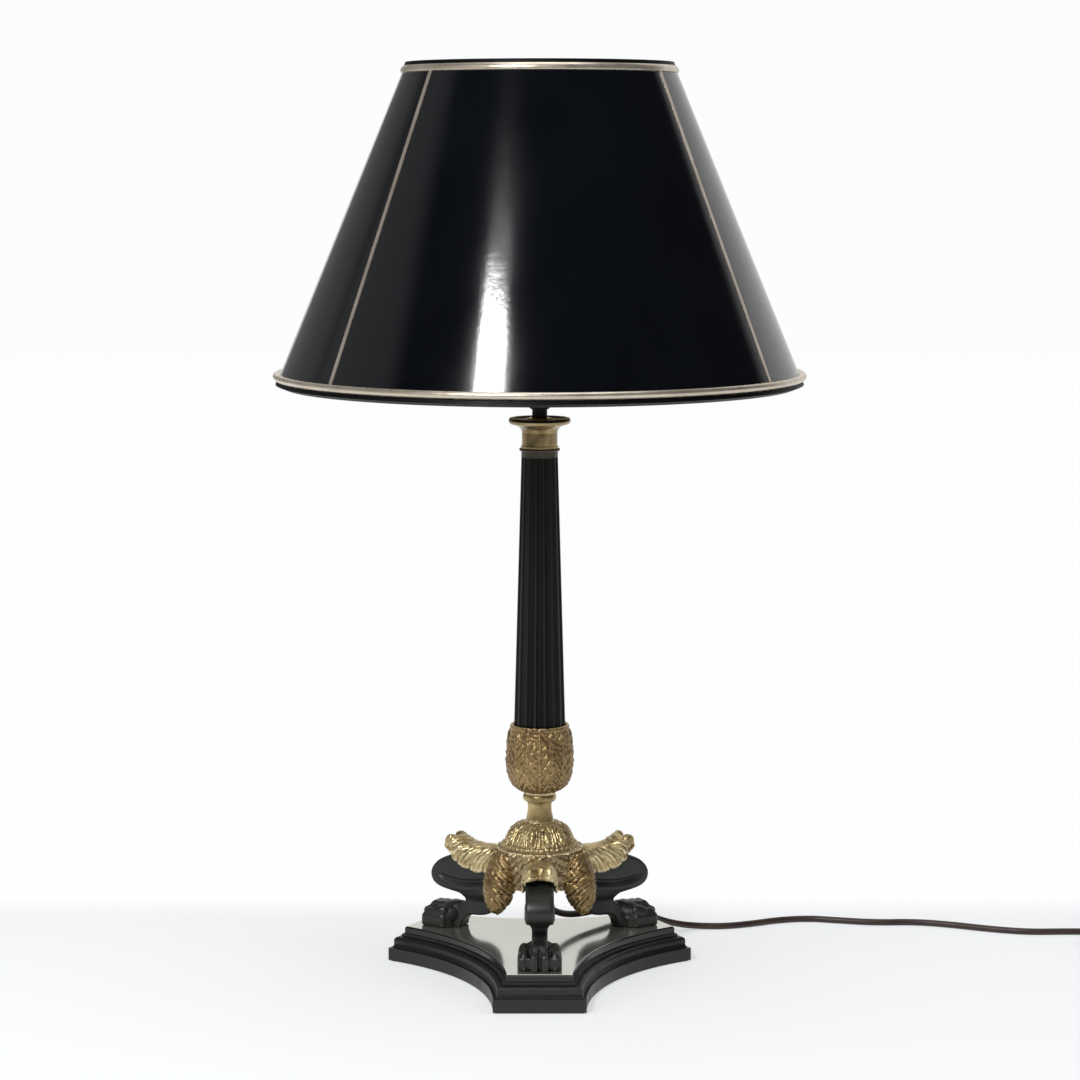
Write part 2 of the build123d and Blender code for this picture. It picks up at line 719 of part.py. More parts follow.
with BuildPart() as drip_plate:
    with BuildSketch(Plane.XZ):
        with BuildLine():
            nut_seat = z_drip_top - drip_lip - top_nut_height + 1
            Polyline((rod_radius + slip, z_drip), (drip_radius - 1.4, z_drip))
            ThreePointArc((drip_radius - 1.4, z_drip), (drip_radius, z_drip + drip_thickness / 2),
                          (drip_radius - 0.8, z_drip_top))
            Polyline((drip_radius - 0.8, z_drip_top), (drip_radius - 2.4, z_drip_top),
                     (drip_radius - 4, z_drip_top - drip_lip),
                     (top_nut_radius + joint_gap, z_drip_top - drip_lip),
                     (top_nut_radius + joint_gap, nut_seat), (rod_radius + slip, nut_seat),
                     (rod_radius + slip, z_drip))
        make_face()
    revolve(axis=Axis.Z)
save(drip_plate, "drip_plate")

with BuildPart() as top_nut:
    with BuildSketch(Plane.XY.offset(nut_seat)):
        Circle(top_nut_radius)
        Circle(rod_radius, mode=Mode.SUBTRACT)
        Rectangle(2 * top_nut_radius, slot_width, mode=Mode.SUBTRACT)
    extrude(amount=top_nut_height)
    with BuildSketch(Plane.XY.offset(nut_seat)):
        Circle(top_nut_radius)
        Circle(rod_radius, mode=Mode.SUBTRACT)
    extrude(amount=top_nut_height / 2)
save(top_nut, "top_nut")

with BuildPart() as tension_rod:
    with BuildSketch(Plane.XY.offset(z_rod)):
        Circle(rod_radius)
        Circle(rod_bore, mode=Mode.SUBTRACT)
    extrude(amount=z_holder + cap_collar_height - z_rod)
save(tension_rod, "tension_rod")

with BuildPart() as rod_washer:
    with BuildSketch(Plane.XY.offset(z_crown)):
        Circle(washer_radius)
        Circle(rod_radius + slip, mode=Mode.SUBTRACT)
    extrude(amount=-washer_thickness)
save(rod_washer, "rod_washer")

with BuildPart() as bottom_nut:
    with BuildSketch(Plane.XY.offset(z_crown - washer_thickness)):
        RegularPolygon(bottom_nut_across / 2, 6, major_radius=False)
        Circle(rod_radius, mode=Mode.SUBTRACT)
    extrude(amount=-bottom_nut_height)
save(bottom_nut, "bottom_nut")

with BuildPart() as cord_bush:
    with BuildSketch(Plane.XZ):
        with BuildLine():
            cable_hole = cord_diameter / 2
            Polyline((cable_hole, z_bush), (bush_radius - 2, z_bush), (bush_radius, z_bush + 2),
                     (bush_radius, z_rod + bush_grip), (rod_radius, z_rod + bush_grip),
                     (rod_radius, z_rod), (cable_hole, z_rod), close=True)
        make_face()
    revolve(axis=Axis.Z)
save(cord_bush, "cord_bush")

with BuildPart() as inner_cable:
    with BuildSketch(Plane.XY.offset(z_bush)):
        Circle(cord_diameter / 2)
    extrude(amount=z_body - z_bush)
save(inner_cable, "inner_cable")

# ---------------------------------------------------------------- lampholder
z_switch = z_holder + switch_rise
cap_bore = cap_radius - cap_wall
switch_plane = Plane.YZ
with BuildPart() as holder_cap:
    with BuildSketch(Plane.XZ):
        with BuildLine():
            z_flange = z_holder + cap_collar_height
            Polyline((rod_radius, z_holder), (cap_collar_radius - 1, z_holder),
                     (cap_collar_radius, z_holder + 1), (cap_collar_radius, z_flange))
            Spline((cap_collar_radius, z_flange), (14.5, z_flange + 1.6), (cap_radius, z_flange + 6),
                   tangents=((1, 0), (0, 1)))
            Polyline((cap_radius, z_flange + 6), (cap_radius, z_body), (cap_bore, z_body),
                     (cap_bore, z_flange + 5), (cap_collar_radius, z_flange + cap_wall),
                     (cord_diameter / 2 + joint_gap, z_flange + cap_wall),
                     (cord_diameter / 2 + joint_gap, z_flange), (rod_radius, z_flange),
                     (rod_radius, z_holder))
        make_face()
    revolve(axis=Axis.Z)
    with BuildSketch(switch_plane):
        with Locations((switch_offset, z_switch)):
            Circle(switch_radius + slip)
    extrude(amount=cap_radius + 1, both=True, mode=Mode.SUBTRACT)
save(holder_cap, "holder_cap")

chord_half = sqrt(cap_bore**2 - (switch_offset + switch_collar_radius) ** 2)
collar_length = 2 * (chord_half - joint_gap) - switch_travel
bar_half = cap_radius + switch_travel / 2 + joint_gap
with BuildPart() as switch_bar:
    with BuildSketch(switch_plane.offset(-switch_travel / 2)):
        with Locations((switch_offset, z_switch)):
            Circle(switch_radius)
    extrude(amount=bar_half, both=True)
    with BuildSketch(switch_plane.offset(-switch_travel / 2)):
        with Locations((switch_offset, z_switch)):
            Circle(switch_collar_radius)
    extrude(amount=collar_length / 2, both=True)
    for side in (-1, 1):
        with BuildSketch(switch_plane.offset(-switch_travel / 2 + side * bar_half)):
            with Locations((switch_offset, z_switch)):
                Circle(switch_button_radius)
        extrude(amount=side * switch_button_length)
save(switch_bar, "switch_bar")

with BuildPart() as holder_body:
    with BuildSketch(Plane.XY.offset(z_body)):
        Circle(body_radius)
    extrude(amount=body_height)
    with BuildSketch(Plane.XY.offset(z_shoulder)):
        Circle(shoulder_radius)
    extrude(amount=shoulder_thickness)
    with BuildSketch(Plane.XY.offset(z_body)):
        Circle(body_bore)
    extrude(amount=body_height, mode=Mode.SUBTRACT)
save(holder_body, "holder_body")

with BuildPart() as holder_insert:
    with BuildSketch(Plane.XY.offset(z_body)):
        Circle(body_bore - slip)
        with Locations((wire_hole_offset, 0), (-wire_hole_offset, 0)):
            Circle(wire_hole_radius, mode=Mode.SUBTRACT)
    extrude(amount=insert_height)
save(holder_insert, "holder_insert")

with BuildPart() as centre_contact:
    with BuildSketch(Plane.XY.offset(z_insert_top)):
        Circle(contact_radius)
    extrude(amount=contact_height)
    fillet(centre_contact.faces().sort_by(Axis.Z)[-1].edges(), 1)
save(centre_contact, "centre_contact")

sleeve_radius = bulb_cap_radius + slip
with BuildPart() as screw_sleeve:
    with BuildSketch(Plane.XY.offset(z_insert_top)):
        Circle(sleeve_radius + sleeve_wall)
        Circle(sleeve_radius, mode=Mode.SUBTRACT)
    extrude(amount=sleeve_height)
    with BuildSketch(Plane.XY.offset(z_insert_top)):
        Circle(body_bore - slip)
        Circle(sleeve_radius, mode=Mode.SUBTRACT)
    extrude(amount=sleeve_wall)
save(screw_sleeve, "screw_sleeve")

with BuildPart() as ring_nut:
    with BuildSketch(Plane.XY.offset(z_seat + fitter_thickness + 2 * slip)):
        Circle(ring_nut_radius)
        Circle(body_radius + slip, mode=Mode.SUBTRACT)
        with PolarLocations(ring_nut_radius, grip_count):
            Circle(grip_radius, mode=Mode.SUBTRACT)
    extrude(amount=ring_nut_height)
save(ring_nut, "ring_nut")

# ---------------------------------------------------------------- bulb
with BuildPart() as bulb_cap:
    with BuildSketch(Plane.XZ):
        with BuildLine():
            skirt = z_bulb + bulb_tip_height + 3
            Polyline((bulb_tip_radius, z_bulb + bulb_tip_height), (bulb_cap_radius - 2.6, skirt - 1),
                     (bulb_cap_radius, skirt + 1), (bulb_cap_radius, z_glass),
                     (bulb_cap_radius - 0.6, z_glass), (bulb_cap_radius - 0.6, skirt + 1.4),
                     (bulb_tip_radius, z_bulb + bulb_tip_height + 1), close=True)
        make_face()
    revolve(axis=Axis.Z)
save(bulb_cap, "bulb_cap")

with BuildPart() as bulb_tip:
    with BuildSketch(Plane.XY.offset(z_bulb)):
        Circle(bulb_tip_radius)
    extrude(amount=bulb_tip_height + 1)
    fillet(bulb_tip.faces().sort_by(Axis.Z)[0].edges(), 1.5)
save(bulb_tip, "bulb_tip")

with BuildPart() as bulb_glass:
    globe_centre = z_glass + bulb_height - bulb_radius
    shell = bulb_glass_wall
    throat = bulb_cap_radius - 0.6 - slip
    with BuildSketch(Plane.XZ):
        with BuildLine():
            Polyline((throat - shell, z_glass - 6), (throat, z_glass - 6), (throat, z_glass),
                     (bulb_neck_radius, z_glass), (bulb_neck_radius, z_glass + 4))
            Spline((bulb_neck_radius, z_glass + 4), (18, z_glass + 20), (bulb_radius, globe_centre),
                   tangents=((0, 1), (0, 1)))
            ThreePointArc((bulb_radius, globe_centre),
                          (bulb_radius * cos(radians(45)), globe_centre + bulb_radius * sin(radians(45))),
                          (0, globe_centre + bulb_radius))
            Line((0, globe_centre + bulb_radius), (0, globe_centre + bulb_radius - shell))
            inner = bulb_radius - shell
            ThreePointArc((0, globe_centre + inner),
                          (inner * cos(radians(45)), globe_centre + inner * sin(radians(45))),
                          (inner, globe_centre))
            Spline((inner, globe_centre), (18 - shell, z_glass + 20), (throat - shell, z_glass + 4),
                   tangents=((0, -1), (0, -1)))
            Line((throat - shell, z_glass + 4), (throat - shell, z_glass - 6))
        make_face()
    revolve(axis=Axis.Z)
save(bulb_glass, "bulb_glass")

with BuildPart() as bulb_stem:
    with BuildSketch(Plane.XZ):
        with BuildLine():
            Polyline((0, z_glass - 6), (throat - shell - slip, z_glass - 6),
                     (throat - shell - slip, z_glass - 4), (4, z_glass + 2),
                     (2.5, z_glass + filament_rise - 6), (0, z_glass + filament_rise - 6), close=True)
        make_face()
    revolve(axis=Axis.Z)
    with BuildSketch(Plane.YZ):
        with Locations((0, z_glass + filament_rise)):
            Circle(filament_wire)
    extrude(amount=filament_span / 2, both=True)
    with BuildSketch(Plane.XY.offset(z_glass + filament_rise - 8)):
        Circle(2 * filament_wire)
    extrude(amount=8)
save(bulb_stem, "bulb_stem")

# ---------------------------------------------------------------- shade
lean = atan2(shade_bottom_radius - shade_top_radius, shade_height)
slant = hypot(shade_bottom_radius - shade_top_radius, shade_height)
inner_out = -card_thickness - lining_thickness


def on_card(out, along):
    """A section point: out from the card's face, and along it from its lower edge."""
    radius = shade_bottom_radius - along * sin(lean) + out * cos(lean)
    return radius, z_rim + along * cos(lean) + out * sin(lean)


def from_rim(rim, out, along):
    """The same, with along counted into the shade from the chosen rim, even past it."""
    return on_card(out, along if rim == "bottom" else slant - along)


with BuildPart() as shade_card:
    with BuildSketch(Plane.XZ):
        with BuildLine():
            Polyline(on_card(0, 0), on_card(0, slant), on_card(-card_thickness, slant),
                     on_card(-card_thickness, 0), close=True)
        make_face()
    revolve(axis=Axis.Z)
save(shade_card, "shade_card")

with BuildPart() as shade_lining:
    with BuildSketch(Plane.XZ):
        with BuildLine():
            Polyline(on_card(-card_thickness, 0), on_card(-card_thickness, slant),
                     on_card(inner_out, slant), on_card(inner_out, 0), close=True)
        make_face()
    revolve(axis=Axis.Z)
save(shade_lining, "shade_lining")

hoop_out = inner_out - hoop_wire / 2 - slip
with BuildPart() as shade_fitter:
    with BuildSketch(Plane.XY.offset(z_seat + slip)):
        Circle(fitter_radius)
        Circle(body_radius + slip, mode=Mode.SUBTRACT)
    extrude(amount=fitter_thickness)
    hoop_radius, hoop_height = from_rim("bottom", hoop_out, hoop_wire / 2 + slip)
    with BuildSketch(Plane.XZ):
        with Locations((hoop_radius, hoop_height)):
            Circle(hoop_wire / 2)
    revolve(axis=Axis.Z)
    arm_rise = z_seat + slip + fitter_thickness / 2 - hoop_height
    arm_run = hoop_radius - fitter_radius + 1
    for k in range(arm_count):
        azimuth = arm_first_azimuth + 360 / arm_count * k
        arm_start = side_plane(azimuth).from_local_coords((fitter_radius - 1, hoop_height + arm_rise))
        arm_end = side_plane(azimuth).from_local_coords((hoop_radius, hoop_height))
        with BuildSketch(Plane(origin=arm_start, z_dir=arm_end - arm_start)):
            Circle(arm_wire / 2)
        extrude(amount=hypot(arm_run, arm_rise))
save(shade_fitter, "shade_fitter")

pocket = inner_out - hoop_wire - 2 * slip
for rim, trim_bulge in (("bottom", bottom_trim_bulge), ("top", top_trim_bulge)):
    with BuildPart() as binding:
        with BuildSketch(Plane.XZ):
            with BuildLine():
                Polyline(from_rim(rim, 0, 0), from_rim(rim, 0, binding_lap),
                         from_rim(rim, binding_thickness, binding_lap),
                         from_rim(rim, binding_thickness, -binding_thickness),
                         from_rim(rim, pocket - binding_thickness, -binding_thickness),
                         from_rim(rim, pocket - binding_thickness, hoop_wire),
                         from_rim(rim, pocket, hoop_wire), from_rim(rim, pocket, 0), close=True)
            make_face()
        revolve(axis=Axis.Z)
        if rim == "bottom":
            add(shade_fitter.part, mode=Mode.SUBTRACT)
    save(binding, f"binding_{rim}")

    with BuildPart() as gold_trim:
        with BuildSketch(Plane.XZ):
            with BuildLine():
                trim_start = binding_lap
                trim_end = trim_start + trim_height
                trim_side = trim_side_share * trim_bulge
                Polyline(from_rim(rim, trim_side, trim_start), from_rim(rim, 0, trim_start),
                         from_rim(rim, 0, trim_end), from_rim(rim, trim_side, trim_end))
                ThreePointArc(from_rim(rim, trim_side, trim_end),
                              from_rim(rim, trim_bulge, (trim_start + trim_end) / 2),
                              from_rim(rim, trim_side, trim_start))
            make_face()
        revolve(axis=Axis.Z)
    save(gold_trim, f"gold_trim_{rim}")

with BuildPart() as top_hoop:
    with BuildSketch(Plane.XZ):
        with Locations(from_rim("top", hoop_out, hoop_wire / 2 + slip)):
            Circle(hoop_wire / 2)
    revolve(axis=Axis.Z)
save(top_hoop, "top_hoop")

with BuildPart() as seam_tapes:
    for azimuth in tape_azimuths:
        with BuildSketch(side_plane(azimuth)):
            with BuildLine():
                Polyline(on_card(0, trim_end), on_card(tape_thickness, trim_end),
                         on_card(tape_thickness, slant - trim_end), on_card(0, slant - trim_end),
                         close=True)
            make_face()
        extrude(amount=tape_width / 2, both=True)
save(seam_tapes, "seam_tapes")


# ---------------------------------------------------------------- cord, coil and plug
cord_radius = cord_diameter / 2
coil_x, coil_y = coil_centre
outer_turn = coil_mean_radius + (coil_turns_across - 1) / 2 * cord_diameter
coil_outer = outer_turn + cord_radius
coil_inner = coil_outer - coil_turns_across * cord_diameter
coil_height = coil_layers * cord_diameter

with BuildPart() as cord_coil:
    with BuildSketch(Plane.XY):
        with Locations(coil_centre):
            Circle(coil_outer)
            Circle(coil_inner, mode=Mode.SUBTRACT)
    extrude(amount=coil_height)
    fillet(cord_coil.edges().group_by(Axis.Z)[-1], 1.5)
    with BuildSketch(Plane.XY):
        with Locations((coil_x - coil_mean_radius, coil_y)):
            Rectangle(4 * coil_mean_radius / 3, tie_width)
    extrude(amount=tie_thickness, mode=Mode.SUBTRACT)
save(cord_coil, "cord_coil")

with BuildPart() as coil_tie:
    tie_inner = coil_x - coil_inner
    tie_outer = coil_x - coil_outer
    with BuildSketch(Plane.XZ.offset(-coil_y - tie_width / 2)):
        with BuildLine():
            Polyline((tie_outer - tie_thickness - 0.3, 0), (tie_inner + tie_thickness + 0.3, 0),
                     (tie_inner + tie_thickness + 0.3, coil_height + tie_thickness),
                     (tie_outer - tie_thickness - 0.3, coil_height + tie_thickness), close=True)
        make_face()
    extrude(amount=tie_width)
    with BuildSketch(Plane.XZ.offset(-coil_y - tie_width / 2)):
        with BuildLine():
            Polyline((tie_outer - 0.3, tie_thickness), (tie_inner + 0.3, tie_thickness),
                     (tie_inner + 0.3, coil_height), (tie_outer - 0.3, coil_height), close=True)
        make_face()
    extrude(amount=tie_width, mode=Mode.SUBTRACT)
save(coil_tie, "coil_tie")

# The route from the bush under the hub, over the plinth's edge and along the table.
cord_route = [
    (0, 0, z_bush), (0, 0, z_bush - 12), (6.5, 7, 41), (17, 19, 34), (29, 32, 31.4), (42, 46.5, 31),
    (55, 61, 30.2), (66, 73, 25), (77, 84, 16.5), (88, 94, 9.8), (101, 103, 4.8),
    (115.5, 108.6, cord_radius), (132, 108.2, cord_radius), (151, 115, cord_radius),
    (171, 125.5, cord_radius), (193, 130, cord_radius), (215, 124, cord_radius),
    (240, 118.3, cord_radius), (268, 120.2, cord_radius), (293, 112.4, cord_radius),
    (318, 100.6, cord_radius), (344, 92.4, cord_radius), (370, 93.8, cord_radius),
    (391, coil_y + outer_turn + 0.1, cord_radius), (409, coil_y + outer_turn, cord_radius),
]
cord_turn_radii = []
for before, corner, after in zip(cord_route, cord_route[1:], cord_route[2:]):
    run_in = Vector(*corner) - Vector(*before)
    run_out = Vector(*after) - Vector(*corner)
    half_turn = radians(run_in.get_angle(run_out)) / 2
    cord_turn_radii.append(0.45 * min(run_in.length, run_out.length) / tan(half_turn))
print("cord turn radii:", [round(radius, 1) for radius in cord_turn_radii])

with BuildPart() as cord_cable:
    with BuildLine() as cord_path:
        FilletPolyline(*cord_route, radius=cord_turn_radii)
    with BuildSketch(Plane(origin=cord_route[0], z_dir=(0, 0, -1))):
        Circle(cord_radius)
    sweep(path=cord_path.line)
    swept_volume = cord_cable.part.volume
    add(cord_coil.part, mode=Mode.SUBTRACT)
cord_length = sum(edge.length for edge in cord_path.edges())
print("cord tube length %.1f, volume ratio %.5f" % (
    cord_length, swept_volume / (pi * cord_radius**2 * cord_length)))
save(cord_cable, "cord_cable")

plug_x = coil_x + outer_turn
plug_z = coil_height - cord_radius
plug_thickness = 2 * plug_z
sleeve_y = coil_y - tail_end
with BuildPart() as cord_tail:
    tail_start = coil_y - sqrt(coil_outer**2 - outer_turn**2)
    with BuildSketch(Plane.XZ.offset(-tail_start)):
        with Locations((plug_x, plug_z)):
            Circle(cord_radius)
    extrude(amount=tail_start - sleeve_y)
    add(cord_coil.part, mode=Mode.SUBTRACT)
save(cord_tail, "cord_tail")

with BuildPart() as plug_sleeve:
    with BuildSketch(Plane.XZ.offset(-sleeve_y)):
        with Locations((plug_x, plug_z)):
            Circle(plug_sleeve_small)
    with BuildSketch(Plane.XZ.offset(-sleeve_y + plug_sleeve_length)):
        with Locations((plug_x, plug_z)):
            Circle(plug_sleeve_large)
    loft(ruled=True)
save(plug_sleeve, "plug_sleeve")

plug_back = sleeve_y - plug_sleeve_length
with BuildPart() as plug_body:
    with BuildSketch(Plane.XY):
        with Locations((plug_x, plug_back - plug_length / 2)):
            RectangleRounded(plug_width, plug_length, plug_rounding)
    extrude(amount=plug_thickness)
    fillet(plug_body.edges().group_by(Axis.Z)[-1], 2)
    fillet(plug_body.edges().group_by(Axis.Z)[0], 1)
    with BuildSketch(Plane.XZ.offset(-plug_back + plug_length)):
        with Locations((plug_x - pin_spacing / 2, plug_z), (plug_x + pin_spacing / 2, plug_z)):
            Circle(pin_radius)
    extrude(amount=-pin_root, mode=Mode.SUBTRACT)
save(plug_body, "plug_body")

with BuildPart() as plug_pins:
    with BuildSketch(Plane.XZ.offset(-plug_back + plug_length - pin_root)):
        with Locations((plug_x - pin_spacing / 2, plug_z), (plug_x + pin_spacing / 2, plug_z)):
            Circle(pin_radius)
    extrude(amount=pin_root + pin_length)
save(plug_pins, "plug_pins")

# ---------------------------------------------------------------- pins for the leaves
with BuildPart() as leaf_pins:
    for azimuth in gap_azimuths:
        with BuildSketch(facing_plane(azimuth, hub_radius - hub_wall)):
            with Locations((0, z_hub + hub_height / 2)):
                Circle(rivet_radius)
        extrude(amount=hub_wall + rivet_length / 2)
    for azimuth in leg_azimuths:
        with BuildSketch(level_plane(z_crown + saddle_pin_rise, azimuth)):
            with Locations((saddle_pin_reach, 0)):
                Circle(rivet_radius)
        extrude(amount=-saddle_pin_rise - rivet_length)
save(leaf_pins, "leaf_pins")
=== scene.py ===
"""A tripod column table lamp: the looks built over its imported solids, in metres."""

import bmesh
import bpy
import json
from math import cos, degrees, exp, floor, hypot, pi, radians, sin, sqrt
from mathutils import Matrix, Vector, noise


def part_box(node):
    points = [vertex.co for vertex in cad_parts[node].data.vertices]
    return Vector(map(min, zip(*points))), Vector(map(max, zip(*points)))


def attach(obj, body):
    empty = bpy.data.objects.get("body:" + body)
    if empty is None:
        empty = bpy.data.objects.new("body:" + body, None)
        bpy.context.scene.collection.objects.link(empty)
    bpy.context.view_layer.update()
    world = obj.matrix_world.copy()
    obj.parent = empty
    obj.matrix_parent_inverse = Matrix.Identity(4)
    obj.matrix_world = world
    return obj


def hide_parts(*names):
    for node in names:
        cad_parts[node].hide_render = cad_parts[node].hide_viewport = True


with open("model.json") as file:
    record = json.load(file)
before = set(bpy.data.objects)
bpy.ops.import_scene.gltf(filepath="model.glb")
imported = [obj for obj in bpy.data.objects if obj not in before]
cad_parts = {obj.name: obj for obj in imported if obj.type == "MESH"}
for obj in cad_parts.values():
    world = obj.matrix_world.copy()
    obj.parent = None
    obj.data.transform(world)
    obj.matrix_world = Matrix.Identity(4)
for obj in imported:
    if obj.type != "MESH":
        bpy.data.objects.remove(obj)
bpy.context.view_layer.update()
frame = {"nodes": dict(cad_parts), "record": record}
nodes = frame["nodes"]
scene = bpy.context.scene
MM = 0.001


# ------------------------------------------------------------------ camera
camera_height = 0.5496
camera_distance = 1.9597
camera_tilt_down = 7.46
camera_lens = 99.59
camera_shift = 0.0003

camera_data = bpy.data.cameras.new("camera")
camera_data.sensor_width = 36
camera_data.lens = camera_lens
camera_data.shift_x = camera_shift
camera = bpy.data.objects.new("camera", camera_data)
camera.location = (0, -camera_distance, camera_height)
camera.rotation_euler = (radians(90 - camera_tilt_down), 0, 0)
scene.collection.objects.link(camera)
scene.camera = camera


# ------------------------------------------------------------------ materials
mix_sockets = {"FLOAT": (2, 3, 0), "RGBA": (6, 7, 2)}      # the two inputs and the output of a Mix node
noise_roughness = 0.55


def node_adder(tree):
    """A function that adds a node of some kind to the tree, with its properties set."""
    def add(kind, **settings):
        node = tree.nodes.new(kind)
        for key, value in settings.items():
            setattr(node, key, value)
        return node
    return add


def feed(tree, value, socket):
    """Links an output to the socket, or sets the socket to a colour or a number."""
    if isinstance(value, bpy.types.NodeSocket):
        tree.links.new(value, socket)
    elif isinstance(value, tuple):
        socket.default_value = (*value, 1)
    else:
        socket.default_value = value


def mixed(tree, factor, low, high, kind="RGBA"):
    """A mix of two colours, or of two numbers if the kind is FLOAT, by a factor. Each may be an output."""
    node = node_adder(tree)("ShaderNodeMix", data_type=kind)
    first, second, result = mix_sockets[kind]
    for value, socket in ((factor, 0), (low, first), (high, second)):
        feed(tree, value, node.inputs[socket])
    return node.outputs[result]


def smooth_range(tree, value, start, end, low, high):
    """A value that goes smoothly from low to high while the given one goes from start to end."""
    node = node_adder(tree)("ShaderNodeMapRange", interpolation_type="SMOOTHSTEP")
    for name, number in (("From Min", start), ("From Max", end), ("To Min", low), ("To Max", high)):
        node.inputs[name].default_value = number
    tree.links.new(value, node.inputs["Value"])
    return node.outputs[0]


class Surface:
    """A node material with a Principled shader, written as small steps."""

    def __init__(self, name):
        self.material = bpy.data.materials.new(name)
        self.material.use_nodes = True
        self.tree = self.material.node_tree
        self.shader = self.tree.nodes["Principled BSDF"]
        self.add = node_adder(self.tree)
        self.place = self.add("ShaderNodeTexCoord").outputs["Object"]

    def link(self, source, target):
        self.tree.links.new(source, target)

    def scaled(self, stretch):
        """The piece's own coordinates, each times its share of the stretch."""
        mapping = self.add("ShaderNodeMapping")
        mapping.inputs["Scale"].default_value = stretch
        self.link(self.place, mapping.inputs["Vector"])
        return mapping.outputs["Vector"]

    def noise(self, scale, detail, stretch=None):
        node = self.add("ShaderNodeTexNoise")
        node.inputs["Scale"].default_value = scale
        node.inputs["Detail"].default_value = detail
        node.inputs["Roughness"].default_value = noise_roughness
        self.link(self.scaled(stretch) if stretch else self.place, node.inputs["Vector"])
        return node.outputs["Fac"]

    def cells(self, scale):
        node = self.add("ShaderNodeTexVoronoi")
        node.inputs["Scale"].default_value = scale
        self.link(self.place, node.inputs["Vector"])
        return node.outputs["Distance"]

    def edges(self):
        return self.add("ShaderNodeNewGeometry").outputs["Pointiness"]

    def above(self, height):
        """1 where the piece is higher than the given height, 0 below it."""
        split = self.add("ShaderNodeSeparateXYZ")
        self.link(self.place, split.inputs[0])
        level = self.add("ShaderNodeMath", operation="GREATER_THAN")
        level.inputs[1].default_value = height
        self.link(split.outputs["Z"], level.inputs[0])
        return level.outputs[0]

    def ramp(self, source, *stops):
        """Colours or greys along a value: stops are (position, colour)."""
        node = self.add("ShaderNodeValToRGB")
        line = node.color_ramp
        while len(line.elements) < len(stops):
            line.elements.new(0.5)
        for element, (position, colour) in zip(line.elements, stops):
            element.position = position
            element.color = (*colour, 1) if isinstance(colour, tuple) else (colour, colour, colour, 1)
        self.link(source, node.inputs["Fac"])
        return node.outputs["Color"]

    def rubbed(self, start, full):
        """1 on edges that are rubbed: it grows from start to full along the mesh's pointiness."""
        return self.ramp(self.edges(), (start, 0.0), (full, 1.0))

    def mottled(self, scale, detail, low, high, stretch=None):
        """A colour or grey that drifts between low and high with a noise."""
        return self.ramp(self.noise(scale, detail, stretch=stretch), (0.3, low), (0.7, high))

    def blend(self, factor, low, high):
        return mixed(self.tree, factor, low, high)

    def sum(self, first, second, share):
        """The first output plus a share of the second."""
        node = self.add("ShaderNodeMath", operation="MULTIPLY_ADD")
        self.link(second, node.inputs[0])
        node.inputs[1].default_value = share
        self.link(first, node.inputs[2])
        return node.outputs[0]

    def bump(self, height, distance):
        node = self.add("ShaderNodeBump")
        node.inputs["Distance"].default_value = distance
        self.link(height, node.inputs["Height"])
        self.link(node.outputs["Normal"], self.shader.inputs["Normal"])

    def set(self, **values):
        for key, value in values.items():
            feed(self.tree, value, self.shader.inputs[key.replace("_", " ")])


def patinated_bronze():
    """Dark green-brown bronze: satin, a little lighter where it is rubbed."""
    m = Surface("patinated_bronze")
    colour = m.ramp(m.noise(38, 5), (0.3, (0.0065, 0.0078, 0.0066)), (0.55, (0.011, 0.013, 0.0108)),
                    (0.8, (0.019, 0.021, 0.017)))
    colour = m.blend(m.rubbed(0.51, 0.60), colour, (0.050, 0.052, 0.042))
    m.set(Base_Color=colour, Metallic=0.0, Specular_IOR_Level=0.45)
    m.set(Roughness=m.mottled(90, 4, 0.34, 0.50))
    m.bump(m.sum(m.noise(320, 5), m.noise(60, 3), 1.5), 0.00012)
    return m.material


def plinth_bronze():
    """Charcoal-brown bronze of the plinth, with lighter rubbed edges on its mouldings."""
    m = Surface("plinth_bronze")
    colour = m.ramp(m.noise(24, 6), (0.3, (0.0048, 0.0046, 0.0048)), (0.6, (0.0078, 0.0074, 0.0075)),
                    (0.85, (0.013, 0.012, 0.0115)))
    colour = m.blend(m.rubbed(0.505, 0.58), colour, (0.021, 0.0195, 0.0185))
    m.set(Base_Color=colour, Metallic=0.0, Specular_IOR_Level=0.26)
    m.set(Roughness=m.mottled(70, 4, 0.30, 0.46))
    m.bump(m.sum(m.noise(300, 5), m.noise(45, 3), 1.4), 0.00012)
    return m.material


def polished_plate():
    """The plate on the plinth: polished on top, finely scratched, and dark on its sides."""
    m = Surface("polished_plate")
    top_skin = 0.15 * MM
    metal = 0.90
    top = m.above(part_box("plinth_plate")[1].z - top_skin)
    bright = m.ramp(m.noise(16, 4), (0.2, (0.55, 0.54, 0.48)), (0.8, (0.60, 0.588, 0.525)))
    side = m.mottled(24, 5, (0.0075, 0.0068, 0.0080), (0.014, 0.0125, 0.0135))
    shine = m.blend(top, (0.0, 0.0, 0.0), (metal, metal, metal))
    m.set(Base_Color=m.blend(top, side, bright), Metallic=shine, Specular_IOR_Level=0.4)
    m.set(Roughness=m.ramp(m.noise(22, 2), (0.2, 0.09), (0.8, 0.16)))
    m.bump(m.noise(900, 2, stretch=(1, 0.06, 1)), 0.000004)
    return m.material


